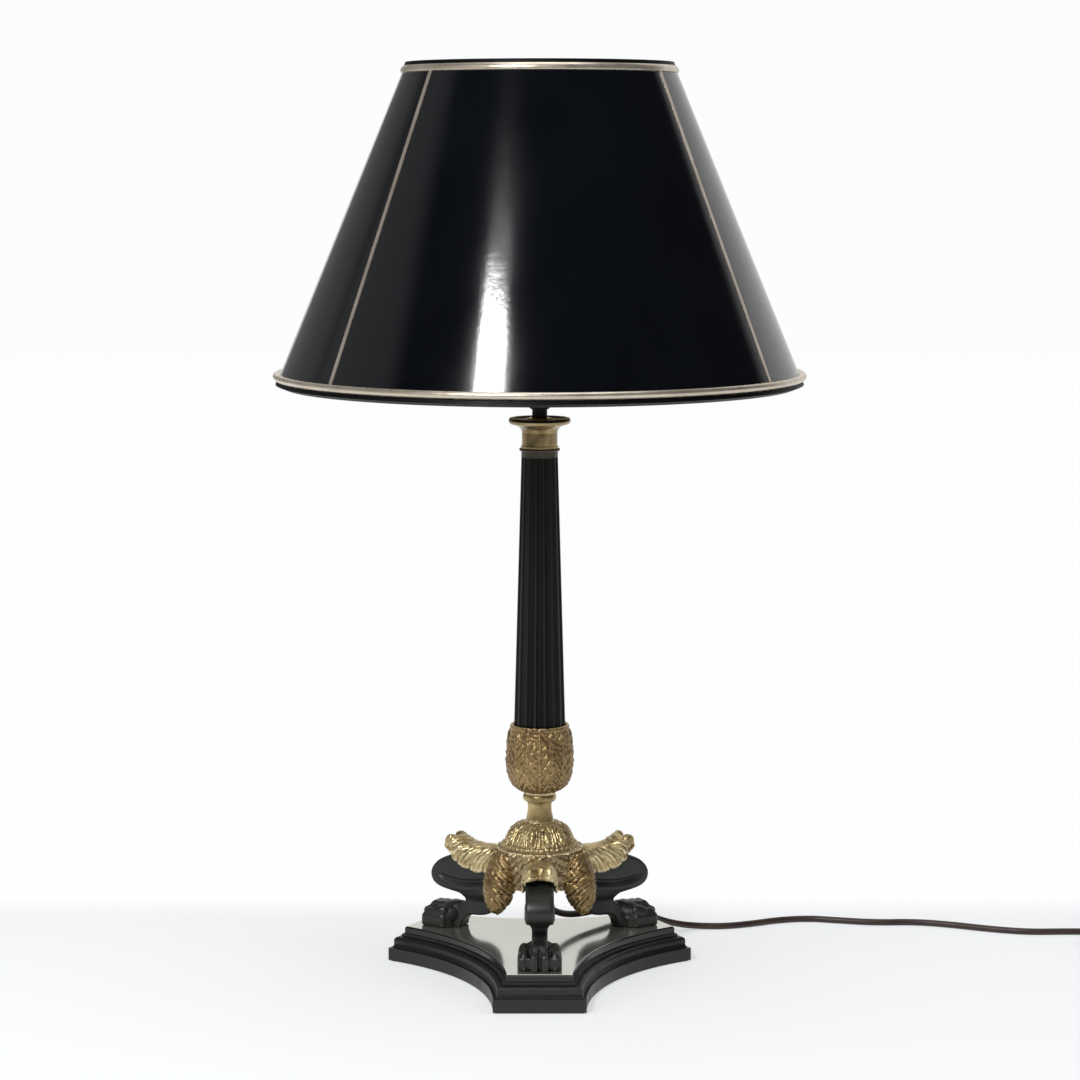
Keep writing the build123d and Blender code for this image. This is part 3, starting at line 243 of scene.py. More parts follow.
def gilding(name, deep, middle, high, worn, rough=(0.26, 0.46), grain=0.00016):
    """Cast and gilt metal: dark in its recesses, bright on its high parts."""
    m = Surface(name)
    colour = m.ramp(m.noise(70, 5), (0.28, deep), (0.5, middle), (0.74, high))
    hollow = m.ramp(m.edges(), (0.42, 1.0), (0.50, 0.0))
    colour = m.blend(hollow, colour, tuple(0.35 * value for value in deep))
    colour = m.blend(m.rubbed(0.51, 0.62), colour, worn)
    m.set(Base_Color=colour, Metallic=0.72)
    m.set(Roughness=m.mottled(160, 4, rough[0], rough[1]))
    m.bump(m.sum(m.noise(520, 5), m.cells(260), 0.4), grain)
    return m.material


def turned_brass(name, deep, high, rough):
    """Turned brass, with fine rings left by the tool."""
    m = Surface(name)
    colour = m.mottled(40, 5, deep, high)
    m.set(Base_Color=colour, Metallic=1.0)
    m.set(Roughness=m.mottled(90, 3, rough, rough + 0.16))
    m.bump(m.noise(700, 2, stretch=(0.05, 0.05, 1)), 0.00004)
    return m.material


def edged_bronze():
    """Blackened bronze with a gilt underside, for the pan under the lampholder."""
    m = Surface("black_drip")
    gilt_share = 0.52
    low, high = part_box("drip_plate")
    upper = m.above(low.z + gilt_share * (high.z - low.z))
    gilt = m.mottled(60, 5, (0.20, 0.140, 0.065), (0.46, 0.35, 0.18))
    dark = m.mottled(40, 5, (0.005, 0.0045, 0.004), (0.013, 0.011, 0.009))
    m.set(Base_Color=m.blend(upper, gilt, dark), Metallic=0.6)
    m.set(Roughness=m.mottled(90, 3, 0.24, 0.40))
    m.bump(m.noise(500, 3), 0.00003)
    return m.material


def shaft_bronze():
    """Near-black satin bronze of the fluted shaft."""
    m = Surface("shaft_bronze")
    colour = m.mottled(30, 5, (0.0014, 0.0016, 0.0014), (0.0040, 0.0044, 0.0038), stretch=(1, 1, 0.25))
    colour = m.blend(m.rubbed(0.51, 0.60), colour, (0.012, 0.013, 0.011))
    m.set(Base_Color=colour, Metallic=0.0, Specular_IOR_Level=0.16)
    m.set(Roughness=m.mottled(110, 4, 0.26, 0.38))
    m.bump(m.noise(380, 5), 0.0001)
    return m.material


def moulded(name, base, rough, grain=0.00003, shine=0.5):
    """Moulded plastic, rubber or bookcloth with a faint grain."""
    m = Surface(name)
    colour = m.mottled(60, 4, tuple(0.8 * value for value in base), base)
    m.set(Base_Color=colour, Metallic=0.0, Specular_IOR_Level=shine)
    m.set(Roughness=m.mottled(240, 4, rough, rough + 0.12))
    m.bump(m.noise(900, 3), grain)
    return m.material


def plated(name, base, rough):
    """Plated or machined metal with a brushed grain."""
    m = Surface(name)
    colour = m.mottled(80, 4, tuple(0.82 * value for value in base), base)
    m.set(Base_Color=colour, Metallic=1.0)
    m.set(Roughness=m.mottled(200, 3, rough, rough + 0.15))
    m.bump(m.noise(1100, 2, stretch=(0.08, 0.08, 1)), 0.00003)
    return m.material


def felt():
    """Green baize, with short fibres."""
    m = Surface("green_felt")
    m.set(Base_Color=m.mottled(900, 6, (0.010, 0.022, 0.012), (0.026, 0.050, 0.028)))
    m.set(Roughness=0.95, Sheen_Weight=0.4)
    m.bump(m.noise(1500, 6), 0.0003)
    return m.material


def porcelain():
    """Glazed off-white porcelain."""
    m = Surface("porcelain")
    m.set(Base_Color=m.mottled(50, 3, (0.72, 0.70, 0.64), (0.80, 0.79, 0.74)))
    m.set(Roughness=m.mottled(150, 3, 0.30, 0.42))
    m.bump(m.noise(400, 3), 0.00004)
    return m.material


def lacquered_card():
    """Glossy near-black paper laid on card: faint cloudiness and fine pits."""
    m = Surface("lacquered_card")
    colour = m.mottled(9, 5, (0.0010, 0.0014, 0.0022), (0.0018, 0.0025, 0.0038))
    m.set(Base_Color=colour, Metallic=0.0, Specular_IOR_Level=0.80)
    m.set(Roughness=m.mottled(26, 5, 0.075, 0.125, stretch=(1, 1, 0.35)))
    m.bump(m.sum(m.noise(420, 4), m.noise(30, 3), 5.0), 0.000018)
    return m.material


def metallic_paper(name, deep, high, rough, grain):
    """Metallic paper: satin, with a fine woven grain."""
    m = Surface(name)
    colour = m.mottled(45, 5, deep, high)
    m.set(Base_Color=colour, Metallic=0.85)
    m.set(Roughness=m.mottled(130, 4, rough, rough + 0.14))
    m.bump(m.noise(650, 4), grain)
    return m.material


def clear_glass():
    """Clear glass with a hardly visible waviness."""
    m = Surface("clear_glass")
    m.set(Base_Color=m.mottled(12, 2, (0.96, 0.97, 0.96), (1.0, 1.0, 1.0)))
    m.set(Transmission_Weight=1.0, Roughness=0.01, IOR=1.45)
    m.bump(m.noise(30, 2), 0.00003)
    return m.material


def flex():
    """Dark red-brown round flex, faintly grained."""
    m = Surface("brown_flex")
    colour = m.mottled(60, 4, (0.016, 0.0085, 0.007), (0.036, 0.017, 0.013))
    m.set(Base_Color=colour)
    m.set(Roughness=m.mottled(200, 3, 0.38, 0.52))
    m.bump(m.noise(900, 3), 0.00005)
    return m.material


finishes = {
    "dark_bronze": patinated_bronze(),
    "plinth_bronze": plinth_bronze(),
    "polished_plate": polished_plate(),
    "gilt_bronze": gilding("gilt_bronze", (0.17, 0.118, 0.050), (0.38, 0.285, 0.130),
                           (0.60, 0.49, 0.255), (0.95, 0.86, 0.55)),
    "antique_gilt": gilding("antique_gilt", (0.105, 0.062, 0.026), (0.23, 0.15, 0.062),
                            (0.36, 0.25, 0.115), (0.72, 0.56, 0.28), (0.30, 0.50)),
    "shadow_gilt": gilding("shadow_gilt", (0.105, 0.072, 0.036), (0.27, 0.200, 0.105),
                           (0.44, 0.34, 0.185), (0.85, 0.72, 0.42), (0.28, 0.46)),
    "capital_gilt": gilding("capital_gilt", (0.045, 0.030, 0.012), (0.20, 0.140, 0.060),
                            (0.46, 0.35, 0.17), (0.26, 0.21, 0.11), (0.12, 0.24), 0.00004),
    "shaft_bronze": shaft_bronze(),
    "grey_bronze": turned_brass("grey_bronze", (0.055, 0.048, 0.040), (0.125, 0.112, 0.094), 0.34),
    "bright_brass": turned_brass("bright_brass", (0.48, 0.32, 0.11), (0.70, 0.50, 0.22), 0.20),
    "black_drip": edged_bronze(),
    "stem_black": moulded("stem_black", (0.0045, 0.0045, 0.0042), 0.40, shine=0.25),
    "steel_fastener": plated("steel_fastener", (0.42, 0.42, 0.41), 0.34),
    "green_felt": felt(),
    "porcelain": porcelain(),
    "nickel_contact": plated("nickel_contact", (0.62, 0.60, 0.56), 0.18),
    "black_moulding": moulded("black_moulding", (0.012, 0.012, 0.012), 0.22),
    "clear_glass": clear_glass(),
    "lamp_wire": plated("lamp_wire", (0.45, 0.44, 0.42), 0.35),
    "black_card": lacquered_card(),
    "gold_lining": metallic_paper("gold_lining", (0.42, 0.29, 0.10), (0.56, 0.40, 0.16), 0.38, 0.00004),
    "gold_trim": metallic_paper("gold_trim", (0.50, 0.43, 0.34), (0.68, 0.61, 0.51), 0.24, 0.000006),
    "black_binding": moulded("black_binding", (0.0022, 0.0022, 0.0025), 0.42, shine=0.10),
    "shade_wire": moulded("shade_wire", (0.62, 0.60, 0.55), 0.35),
    "brown_flex": flex(),
    "tie_wrap": moulded("tie_wrap", (0.02, 0.02, 0.02), 0.5),
}
# nodes that are drawn in another finish than their slot's
drawn_as = {"plinth_base": "plinth_bronze", "top_nut": "bright_brass", "tension_rod": "stem_black",
            "stem_neck": "gilt_bronze", "capital_neck": "capital_gilt", "hub_casting": "shadow_gilt"}


def paint(piece, finish):
    piece.data.materials.clear()
    piece.data.materials.append(finishes[finish])


for part in frame["record"]["subparts"]:
    slot = part["material_slot"]
    finish = "bright_brass" if slot == "brass_fitting" else slot
    paint(nodes[part["node"]], drawn_as.get(part["node"], finish))


# ------------------------------------------------------------------ stage
floor_far_edge = 0.156         # where the table gives way to the paler backdrop
floor_change = (-0.02, 0.05)   # the change begins and ends so far from that edge


def studio_floor():
    """The camera and mirrors see a glowing table and backdrop; other light meets a plain pale floor."""
    m = bpy.data.materials.new("studio_floor")
    m.use_nodes = True
    tree = m.node_tree
    tree.nodes.clear()
    add = node_adder(tree)
    split = add("ShaderNodeSeparateXYZ")
    tree.links.new(add("ShaderNodeNewGeometry").outputs["Position"], split.inputs[0])
    begin, end = (floor_far_edge + offset for offset in floor_change)
    beyond = smooth_range(tree, split.outputs["Y"], begin, end, 0.0, 1.0)
    table_glow, backdrop_glow = (0.475, 0.49, 0.50), (0.97, 0.975, 0.98)
    table_grey, backdrop_grey = (0.36, 0.36, 0.36), (0.02, 0.02, 0.02)
    glow = mixed(tree, beyond, table_glow, backdrop_glow)
    lit = mixed(tree, beyond, table_grey, backdrop_grey)
    emission = add("ShaderNodeEmission")
    tree.links.new(glow, emission.inputs["Color"])
    diffuse = add("ShaderNodeBsdfDiffuse")
    tree.links.new(lit, diffuse.inputs["Color"])
    seen = add("ShaderNodeAddShader")
    tree.links.new(emission.outputs[0], seen.inputs[0])
    tree.links.new(diffuse.outputs[0], seen.inputs[1])
    plain = add("ShaderNodeBsdfDiffuse")
    plain.inputs["Color"].default_value = (0.80, 0.80, 0.81, 1)
    path = add("ShaderNodeLightPath")
    either = add("ShaderNodeMath", operation="MAXIMUM")
    tree.links.new(path.outputs["Is Camera Ray"], either.inputs[0])
    tree.links.new(path.outputs["Is Glossy Ray"], either.inputs[1])
    choice = add("ShaderNodeMixShader")
    tree.links.new(either.outputs[0], choice.inputs[0])
    tree.links.new(plain.outputs[0], choice.inputs[1])
    tree.links.new(seen.outputs[0], choice.inputs[2])
    output = add("ShaderNodeOutputMaterial")
    tree.links.new(choice.outputs[0], output.inputs["Surface"])
    return m


floor_size = 6.0
floor_mesh = bpy.data.meshes.new("floor")
floor_mesh.from_pydata([(-floor_size, -floor_size, 0), (floor_size, -floor_size, 0),
                        (floor_size, floor_size, 0), (-floor_size, floor_size, 0)], [], [(0, 1, 2, 3)])
floor_piece = bpy.data.objects.new("floor", floor_mesh)
scene.collection.objects.link(floor_piece)
floor_mesh.materials.append(studio_floor())


def studio_world():
    """White to the camera and through glass, grey for other light. Mirrors see walls instead: a dim one
    at the left, a bright one at the right, and the brightest straight behind the object."""
    world = bpy.data.worlds.new("studio")
    world.use_nodes = True
    tree = world.node_tree
    tree.nodes.clear()
    add = node_adder(tree)

    def smooth(value, start, end, low, high):
        return smooth_range(tree, value, start, end, low, high)

    def math(operation, first, second):
        node = add("ShaderNodeMath", operation=operation)
        tree.links.new(first, node.inputs[0])
        tree.links.new(second, node.inputs[1])
        return node.outputs[0]

    dark, left_pale, right_pale, back_pale = 0.018, 0.22, 0.85, 0.92
    camera_white, room_grey = (0.975, 0.98, 0.985), (0.50, 0.50, 0.505)
    split = add("ShaderNodeSeparateXYZ")
    tree.links.new(add("ShaderNodeTexCoord").outputs["Generated"], split.inputs[0])
    across, along = split.outputs["X"], split.outputs["Y"]
    left_wall = math("MAXIMUM", smooth(across, -0.86, -0.78, left_pale, dark),
                     smooth(along, 0.3, 0.6, dark, left_pale))
    right_wall = smooth(along, 0.42, 0.62, dark, right_pale)
    walls = mixed(tree, smooth(across, -0.2, 0.2, 0.0, 1.0), left_wall, right_wall, kind="FLOAT")
    aside = add("ShaderNodeMath", operation="ABSOLUTE")
    tree.links.new(across, aside.inputs[0])
    back_wall = math("MULTIPLY", smooth(aside.outputs[0], 0.24, 0.32, back_pale, 0.0),
                     smooth(along, 0.0, 0.2, 0.0, 1.0))
    path = add("ShaderNodeLightPath")
    white = math("MAXIMUM", path.outputs["Is Camera Ray"], path.outputs["Is Transmission Ray"])
    mirrored = math("MAXIMUM", walls, back_wall)
    glossy = mixed(tree, path.outputs["Is Glossy Ray"], room_grey, mirrored)
    background = add("ShaderNodeBackground")
    tree.links.new(mixed(tree, white, glossy, camera_white), background.inputs["Color"])
    output = add("ShaderNodeOutputWorld")
    tree.links.new(background.outputs[0], output.inputs["Surface"])
    return world


scene.world = studio_world()
scene.view_settings.view_transform = "Standard"


lamp_aim = Vector((0, 0, 0.38))


def softbox(name, azimuth, elevation, distance, width, height, power, mirrored=True):
    """An area lamp. Azimuth 0 is the camera's side, positive to the right; a fill isn't seen in gloss."""
    lamp = bpy.data.lights.new(name, "AREA")
    lamp.shape = "RECTANGLE"
    lamp.size = width
    lamp.size_y = height
    lamp.energy = power
    holder = bpy.data.objects.new(name, lamp)
    turn = radians(azimuth)
    rise = radians(elevation)
    out = Vector((sin(turn) * cos(rise), -cos(turn) * cos(rise), sin(rise)))
    holder.location = lamp_aim + distance * out
    holder.rotation_mode = "QUATERNION"
    holder.rotation_quaternion = (-out).to_track_quat("-Z", "Y")
    holder.visible_glossy = mirrored
    scene.collection.objects.link(holder)


softbox("key_light", azimuth=-24, elevation=33.4, distance=2.2, width=0.38, height=0.50, power=35)
softbox("left_fill", azimuth=-62, elevation=28, distance=2.2, width=0.9, height=1.4, power=11, mirrored=False)
softbox("right_fill", azimuth=62, elevation=30, distance=2.2, width=0.9, height=1.2, power=11, mirrored=False)
softbox("top_light", azimuth=10, elevation=84, distance=2.0, width=1.4, height=1.4, power=12)


# ------------------------------------------------------------------ cord
cord_diameter = 4.6 * MM
cord_rest = cord_diameter / MM / 2     # the middle of a cord that lies on the table, in mm
coil_x, coil_y = 418.0, 61.0
coil_radii = (32.2, 27.6, 23.0, 18.4)
points_per_turn = 18
plug_sleeve_end = 41.0
route = [
    (0, 0, 64), (0, 0, 52), (6.5, 7, 41), (17, 19, 34), (29, 32, 31.4), (42, 46.5, 31),
    (55, 61, 30.2), (66, 73, 25), (77, 84, 16.5), (88, 94, 9.8), (101, 103, 4.8),
    (115.5, 108.6, cord_rest), (132, 108.2, cord_rest), (151, 115, cord_rest),
    (171, 125.5, cord_rest), (193, 130, cord_rest), (215, 124, cord_rest),
    (240, 118.3, cord_rest), (268, 120.2, cord_rest), (293, 112.4, cord_rest),
    (318, 100.6, cord_rest), (344, 92.4, cord_rest), (370, 93.8, cord_rest),
    (391, coil_y + coil_radii[0] + 0.1, cord_rest),
]


def eased(share):
    """0 below 0 and 1 above 1, with a smooth step between them."""
    share = min(max(share, 0.0), 1.0)
    return share * share * (3 - 2 * share)


def rising(value, start, length):
    """0 up to the start, then smoothly up to 1 over the length."""
    return eased((value - start) / length)


def coil_points():
    """Four turns inwards on the table and four outwards on top of them, then a quarter turn.
    A turn keeps its radius for five sixths and moves to the next one over the last sixth."""
    climb_start, climb_rate = len(coil_radii) - 0.55, 3.2
    pitch = coil_radii[0] - coil_radii[1]
    across = len(coil_radii)
    swell = 1 / cos(pi / points_per_turn)      # the curve runs a little inside its points
    turns = 2 * across + 0.25
    found = []
    for k in range(round(turns * points_per_turn) + 1):
        turn = k / points_per_turn
        whole = min(floor(turn), 2 * across)
        part = turn - whole
        shift = eased((part - 5 / 6) * 6)
        if whole < across - 1:
            radius = coil_radii[0] - pitch * (whole + shift)
        elif whole < across:
            radius = coil_radii[-1]
        elif whole < 2 * across - 1:
            radius = coil_radii[-1] + pitch * (whole - across + shift)
        else:
            radius = coil_radii[0]
        climb = eased((turn - climb_start) * climb_rate)
        angle = pi / 2 - 2 * pi * turn
        found.append((coil_x + radius * swell * cos(angle), coil_y + radius * swell * sin(angle),
                      cord_rest + climb * 2 * cord_rest))
    return found


cord_points = route + coil_points() + [(coil_x + coil_radii[0], plug_sleeve_end, 3 * cord_rest)]
cord_curve = bpy.data.curves.new("cord", "CURVE")
cord_curve.dimensions = "3D"
cord_curve.bevel_depth = cord_diameter / 2
cord_curve.bevel_resolution = 4
cord_curve.resolution_u = 8
cord_curve.use_fill_caps = True
cord_spline = cord_curve.splines.new("NURBS")
cord_spline.points.add(len(cord_points) - 1)
for point, place in zip(cord_spline.points, cord_points):
    point.co = (*(value * MM for value in place), 1)
cord_spline.order_u = 3
cord_spline.use_endpoint_u = True
cord = bpy.data.objects.new("cord", cord_curve)
scene.collection.objects.link(cord)
cord_curve.materials.append(finishes["brown_flex"])
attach(cord, "stand")
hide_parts("cord_cable", "cord_coil", "cord_tail")


# ------------------------------------------------------------------ shapes
def through(table, x):
    """A smooth value through (x, value) pairs, flat past both ends."""
    if x <= table[0][0]:
        return table[0][1]
    if x >= table[-1][0]:
        return table[-1][1]
    k = max(i for i in range(len(table) - 1) if table[i][0] <= x)
    (x0, y0), (x1, y1) = table[k], table[k + 1]
    before = table[max(k - 1, 0)]
    after = table[min(k + 2, len(table) - 1)]
    span = x1 - x0
    slope0 = (y1 - before[1]) / (x1 - before[0]) * span
    slope1 = (after[1] - y0) / (after[0] - x0) * span
    u = (x - x0) / span
    return ((2 * u**3 - 3 * u**2 + 1) * y0 + (u**3 - 2 * u**2 + u) * slope0
            + (3 * u**2 - 2 * u**3) * y1 + (u**3 - u**2) * slope1)


def bell(value, width):
    """1 at 0, falling off on both sides over the width."""
    return exp(-(value / width) ** 2)


def inside(value, limit, soft):
    """1 where value is under the limit, 0 past it, with a soft edge."""
    return 1 - eased((value - limit + soft) / (2 * soft))


def grid_mesh(name, rows, closed=False):
    """A mesh of four-sided faces over rows of points in millimetres. Closed, it is a ring both ways."""
    high, wide = len(rows), len(rows[0])
    points = [tuple(value * MM for value in point) for row in rows for point in row]
    faces = []
    for i in range(high if closed else high - 1):
        for j in range(wide if closed else wide - 1):
            right, up = (j + 1) % wide, (i + 1) % high
            faces.append((i * wide + j, i * wide + right, up * wide + right, up * wide + j))
    mesh = bpy.data.meshes.new(name)
    mesh.from_pydata(points, [], faces)
    return mesh


def shade_smooth(mesh):
    for polygon in mesh.polygons:
        polygon.use_smooth = True


def finished(name, mesh, body, finish, replaced):
    """A smooth piece of the given mesh, painted, slotted, on its body and in place of the replaced nodes."""
    piece = bpy.data.objects.new(name, mesh)
    scene.collection.objects.link(piece)
    shade_smooth(mesh)
    paint(piece, finish)
    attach(piece, body)
    if replaced:
        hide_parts(*replaced)
    return piece


def settle(piece):
    """Turns a piece's modifiers into its mesh."""
    shown = piece.evaluated_get(bpy.context.evaluated_depsgraph_get())
    mesh = bpy.data.meshes.new_from_object(shown)
    old = piece.data
    piece.modifiers.clear()
    piece.data = mesh
    bpy.data.meshes.remove(old)
    shade_smooth(mesh)


def thicken(piece, thickness):
    """Gives a sheet its thickness in millimetres, behind its drawn side."""
    solid = piece.modifiers.new("thickness", "SOLIDIFY")
    solid.thickness = thickness * MM
    solid.offset = -1.0
    settle(piece)


def chased(piece, amount, scale, seed):
    """Uneven handwork of a casting: the surface rises and falls a little over the given distance."""
    moves = [vertex.normal * amount * MM * noise.noise(vertex.co / (scale * MM) + Vector((seed, 0, 0)))
             for vertex in piece.data.vertices]
    for vertex, move in zip(piece.data.vertices, moves):
        vertex.co += move


def turned_copy(piece, name, angle, body, finish, replaced):
    """The same mesh, turned about the lamp's axis, as a piece of its own."""
    mesh = piece.data.copy()
    mesh.transform(Matrix.Rotation(radians(angle), 4, "Z"))
    return finished(name, mesh, body, finish, replaced)


def cast_round(name, outer, inner, relief, round_steps, body, finish, replaced):
    """A turned piece with relief on its outside. outer and inner are (radius, height) lists, low to high.
    round_steps is the number of points round it."""
    rows = []
    for k, (radius, height) in enumerate(outer):
        before, after = outer[max(k - 1, 0)], outer[min(k + 1, len(outer) - 1)]
        run = hypot(after[0] - before[0], after[1] - before[1]) or 1
        out, up = (after[1] - before[1]) / run, -(after[0] - before[0]) / run
        share = k / (len(outer) - 1)
        row = []
        for step in range(round_steps):
            turn = 2 * pi * step / round_steps
            raised = relief(degrees(turn), share)
            reach = radius + raised * out
            row.append((reach * sin(turn), -reach * cos(turn), height + raised * up))
        rows.append(row)
    for radius, height in reversed(inner):
        rows.append([(radius * sin(2 * pi * step / round_steps), -radius * cos(2 * pi * step / round_steps),
                      height) for step in range(round_steps)])
    mesh = grid_mesh(name, rows, closed=True)
    return finished(name, mesh, body, finish, replaced)


def refined(points, steps):
    """Evenly shared points on a smooth line through the given ones."""
    lengths = [0.0]
    for first, second in zip(points, points[1:]):
        lengths.append(lengths[-1] + hypot(second[0] - first[0], second[1] - first[1]))
    across = [(length, point[0]) for length, point in zip(lengths, points)]
    upward = [(length, point[1]) for length, point in zip(lengths, points)]
    places = [lengths[-1] * k / steps for k in range(steps + 1)]
    return [(through(across, place), through(upward, place)) for place in places]


# ------------------------------------------------------------------ cup and dome
def node_heights(name):
    """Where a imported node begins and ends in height, in millimetres."""
    low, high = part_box(name)
    return low.z / MM, high.z / MM


def cup_relief(turn, share):
    """Eight acanthus leaves with beaded midribs, the tips of smaller leaves between them."""
    leaf_angle = 360.0 / 8
    lobes, slant, beads = 6, 1.7, 10
    lip_share = 0.955
    x = ((turn + leaf_angle / 2) % leaf_angle - leaf_angle / 2) / (leaf_angle / 2)
    across = abs(x)
    low, high = 0.03, 0.93
    v = (share - low) / (high - low)
    width = through([(0, 0.72), (0.3, 0.9), (0.62, 0.86), (0.85, 0.6), (1.0, 0.12)], v)
    width -= 0.10 * abs(sin(pi * 5 * v)) * inside(v, 1.0, 0.02)
    leaf = inside(across, width, 0.07) * inside(-v, 0.0, 0.02) * inside(v, 1.0, 0.02)
    height = 0.75 * leaf * (1 - 0.45 * (across / max(width, 0.1)) ** 2)
    vein = (v * lobes - slant * across) % 1.0
    height -= 0.42 * leaf * bell(vein - 0.5, 0.16) * inside(-across, -0.14, 0.05)
    bead = (v * beads) % 1.0
    height += 0.55 * leaf * bell(across, 0.085) * (0.45 + 0.55 * bell(bead - 0.5, 0.27))
    height += 0.35 * leaf * bell(across - width * 0.72, 0.13) * bell(vein, 0.25)
    between = 1 - across
    small = inside(between, 0.16 + 0.10 * sin(pi * min(max((v - 0.2) / 0.85, 0), 1)), 0.05)
    height += (1 - leaf) * small * (0.5 + 0.25 * bell(between, 0.06))
    lip = inside(-share, -lip_share, 0.012)
    return height * (1 - lip) + 0.5 * lip - 0.45


def dome_relief(turn, share):
    """A beaded lower edge, a ring of eggs in frames with darts between them, and reeds above."""
    bead_count = 44
    egg_angle, reed_angle = 30.0, 15
    egg_level, egg_half_height, egg_half_width = 0.47, 0.27, 0.44
    edge_share, reed_share = 0.155, 0.84
    beads = (turn / 360 * bead_count) % 1.0
    edge = inside(share, edge_share, 0.01)
    x = (turn % egg_angle - egg_angle / 2) / (egg_angle / 2)
    v = (share - egg_level) / egg_half_height
    egg = (x / egg_half_width) ** 2 + v**2
    height = 1.25 * sqrt(max(0.0, 1 - egg)) + 0.75 * bell(sqrt(egg) - 1.42, 0.15) * inside(v, 1.25, 0.1)
    height += 0.65 * bell(1 - abs(x), 0.10) * inside(abs(v + 0.1), 1.0, 0.15)
    reeds = inside(-share, -reed_share, 0.02)
    height = height * (1 - reeds) + reeds * 0.45 * abs(sin(pi * turn / reed_angle))
    return (1 - edge) * height + edge * (0.75 * bell(beads - 0.5, 0.30) - 0.2) - 0.25


cup_low, cup_high = node_heights("acanthus_cup")
cup_outer = refined([(10.4, 0), (13.6, 1.4), (16, 3.0), (18.3, 5.3), (19.7, 7.8), (21.1, 12), (21.8, 17),
                     (22.0, 22), (21.9, 28), (21.2, 36), (20.1, 42), (19.3, 45.6)], steps=120)
cup_floor, seat_depth = 6, 6
shaft_foot = 17.5          # radius of the shaft's seat in the cup
rod_hole = 5.1             # radius of the hole for the tension rod
acanthus_cup = cast_round(
    "acanthus_cup_cast", [(radius, cup_low + rise) for radius, rise in cup_outer],
    [(rod_hole, cup_low), (rod_hole, cup_low + cup_floor),
     (shaft_foot, cup_high - seat_depth), (shaft_foot, cup_high)],
    relief=cup_relief, round_steps=384, body="stand", finish="antique_gilt",
    replaced=["acanthus_cup"])
chased(acanthus_cup, amount=0.6, scale=2.2, seed=17)

dome_low, dome_high = node_heights("dome")
dome_outer = refined([(24.2, 0), (25.1, 0.6), (25.3, 1.6), (24.9, 2.6), (23.6, 3.2), (22.9, 4.4), (21.4, 7.6),
                      (19.0, 11.4), (15.6, 14.8), (12.4, 16.3), (9.9, 17.0)], steps=84)
hollow_radius, hollow_height = 21, 11
dome = cast_round(
    "dome_cast", [(radius, dome_low + rise) for radius, rise in dome_outer],
    [(hollow_radius, dome_low), (rod_hole, dome_low + hollow_height), (rod_hole, dome_high)],
    relief=dome_relief, round_steps=432, body="stand", finish="gilt_bronze",
    replaced=["dome"])
chased(dome, amount=0.45, scale=2.4, seed=23)


# ------------------------------------------------------------------ hub
hub_low, hub_high = node_heights("hub_casting")


def hub_relief(turn, share):
    """Long leaves that fan out from each thigh, under a rounded shoulder."""
    bead_count = 48
    thigh_angle = 120
    shoulder_share = 0.74
    apart = abs((turn + thigh_angle / 2) % thigh_angle - thigh_angle / 2)     # from the nearest thigh
    bend = share * 5.0 + apart / 15 + 0.25 * sin(radians(turn) * 5)
    frond = abs(sin(pi * bend))
    face = inside(share, shoulder_share, 0.05)
    bead = 0.5 + 0.5 * cos(radians(turn) * bead_count)
    return face * (0.85 * frond**0.7 - 0.35) + (1 - face) * inside(share, 0.86, 0.02) * (0.15 + 0.35 * bead)


hub_skin = refined([(29.2, 0), (29.5, 6), (29.6, 14), (29.5, 20), (29.3, 22.6), (28.4, 24.8), (26.6, 25.8),
                    (24.4, 26.0)], steps=90)
skin_low, skin_high = hub_low + 0.1, hub_high - 0.4
skin_inside, skin_neck = 28.6, 24.4
hub_leafage = cast_round(
    "hub_leafage_cast", [(radius, skin_low + rise) for radius, rise in hub_skin],
    [(skin_inside, skin_low), (skin_inside, skin_high), (skin_neck, skin_high)],
    relief=hub_relief, round_steps=480, body="stand", finish="shadow_gilt",
    replaced=[])
chased(hub_leafage, amount=0.7, scale=2.4, seed=5)


# ------------------------------------------------------------------ leaves
crown_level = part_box("leg_crown")[0].z / MM
leaf_low, leaf_high = node_heights("pendant_leaf_back")


def lobe_phase(s, across, lobes, slant):
    """Where a point lies in its lobe, from -0.5 to 0.5. The lobes slant towards the tip at the edges."""
    return (s * lobes - slant * across) % 1.0 - 0.5


def scalloped(s, lobes, slant, depth):
    """1 at the middle of a lobe's edge, less by the depth between two lobes."""
    return 1 - depth * (1 - sqrt(max(0.0, 1 - (2 * lobe_phase(s, 1, lobes, slant)) ** 2)))


def acanthus(s, t, lobes, slant):
    """Relief of an acanthus leaf from 0 to about 1.3: s runs from root to tip, t across it from -1 to 1."""
    across = abs(t)
    u = lobe_phase(s, across, lobes, slant)
    lobe = sqrt(max(0.0, 1 - (2 * u) ** 2))
    spread = rising(across, 0.08, 0.2)
    height = spread * (0.15 + 0.85 * lobe) * (0.6 + 0.4 * sin(pi * min(across, 1.0)))
    height -= 0.30 * spread * bell(u, 0.07) * inside(-across, -0.3, 0.1)
    height -= 0.22 * spread * (0.5 + 0.5 * cos(2 * pi * (3 * u + 1.5 * across)))
    return height + (1 - spread) * 0.75 + 0.35 * bell(across, 0.05) * (0.6 + 0.4 * cos(4 * pi * s * lobes))


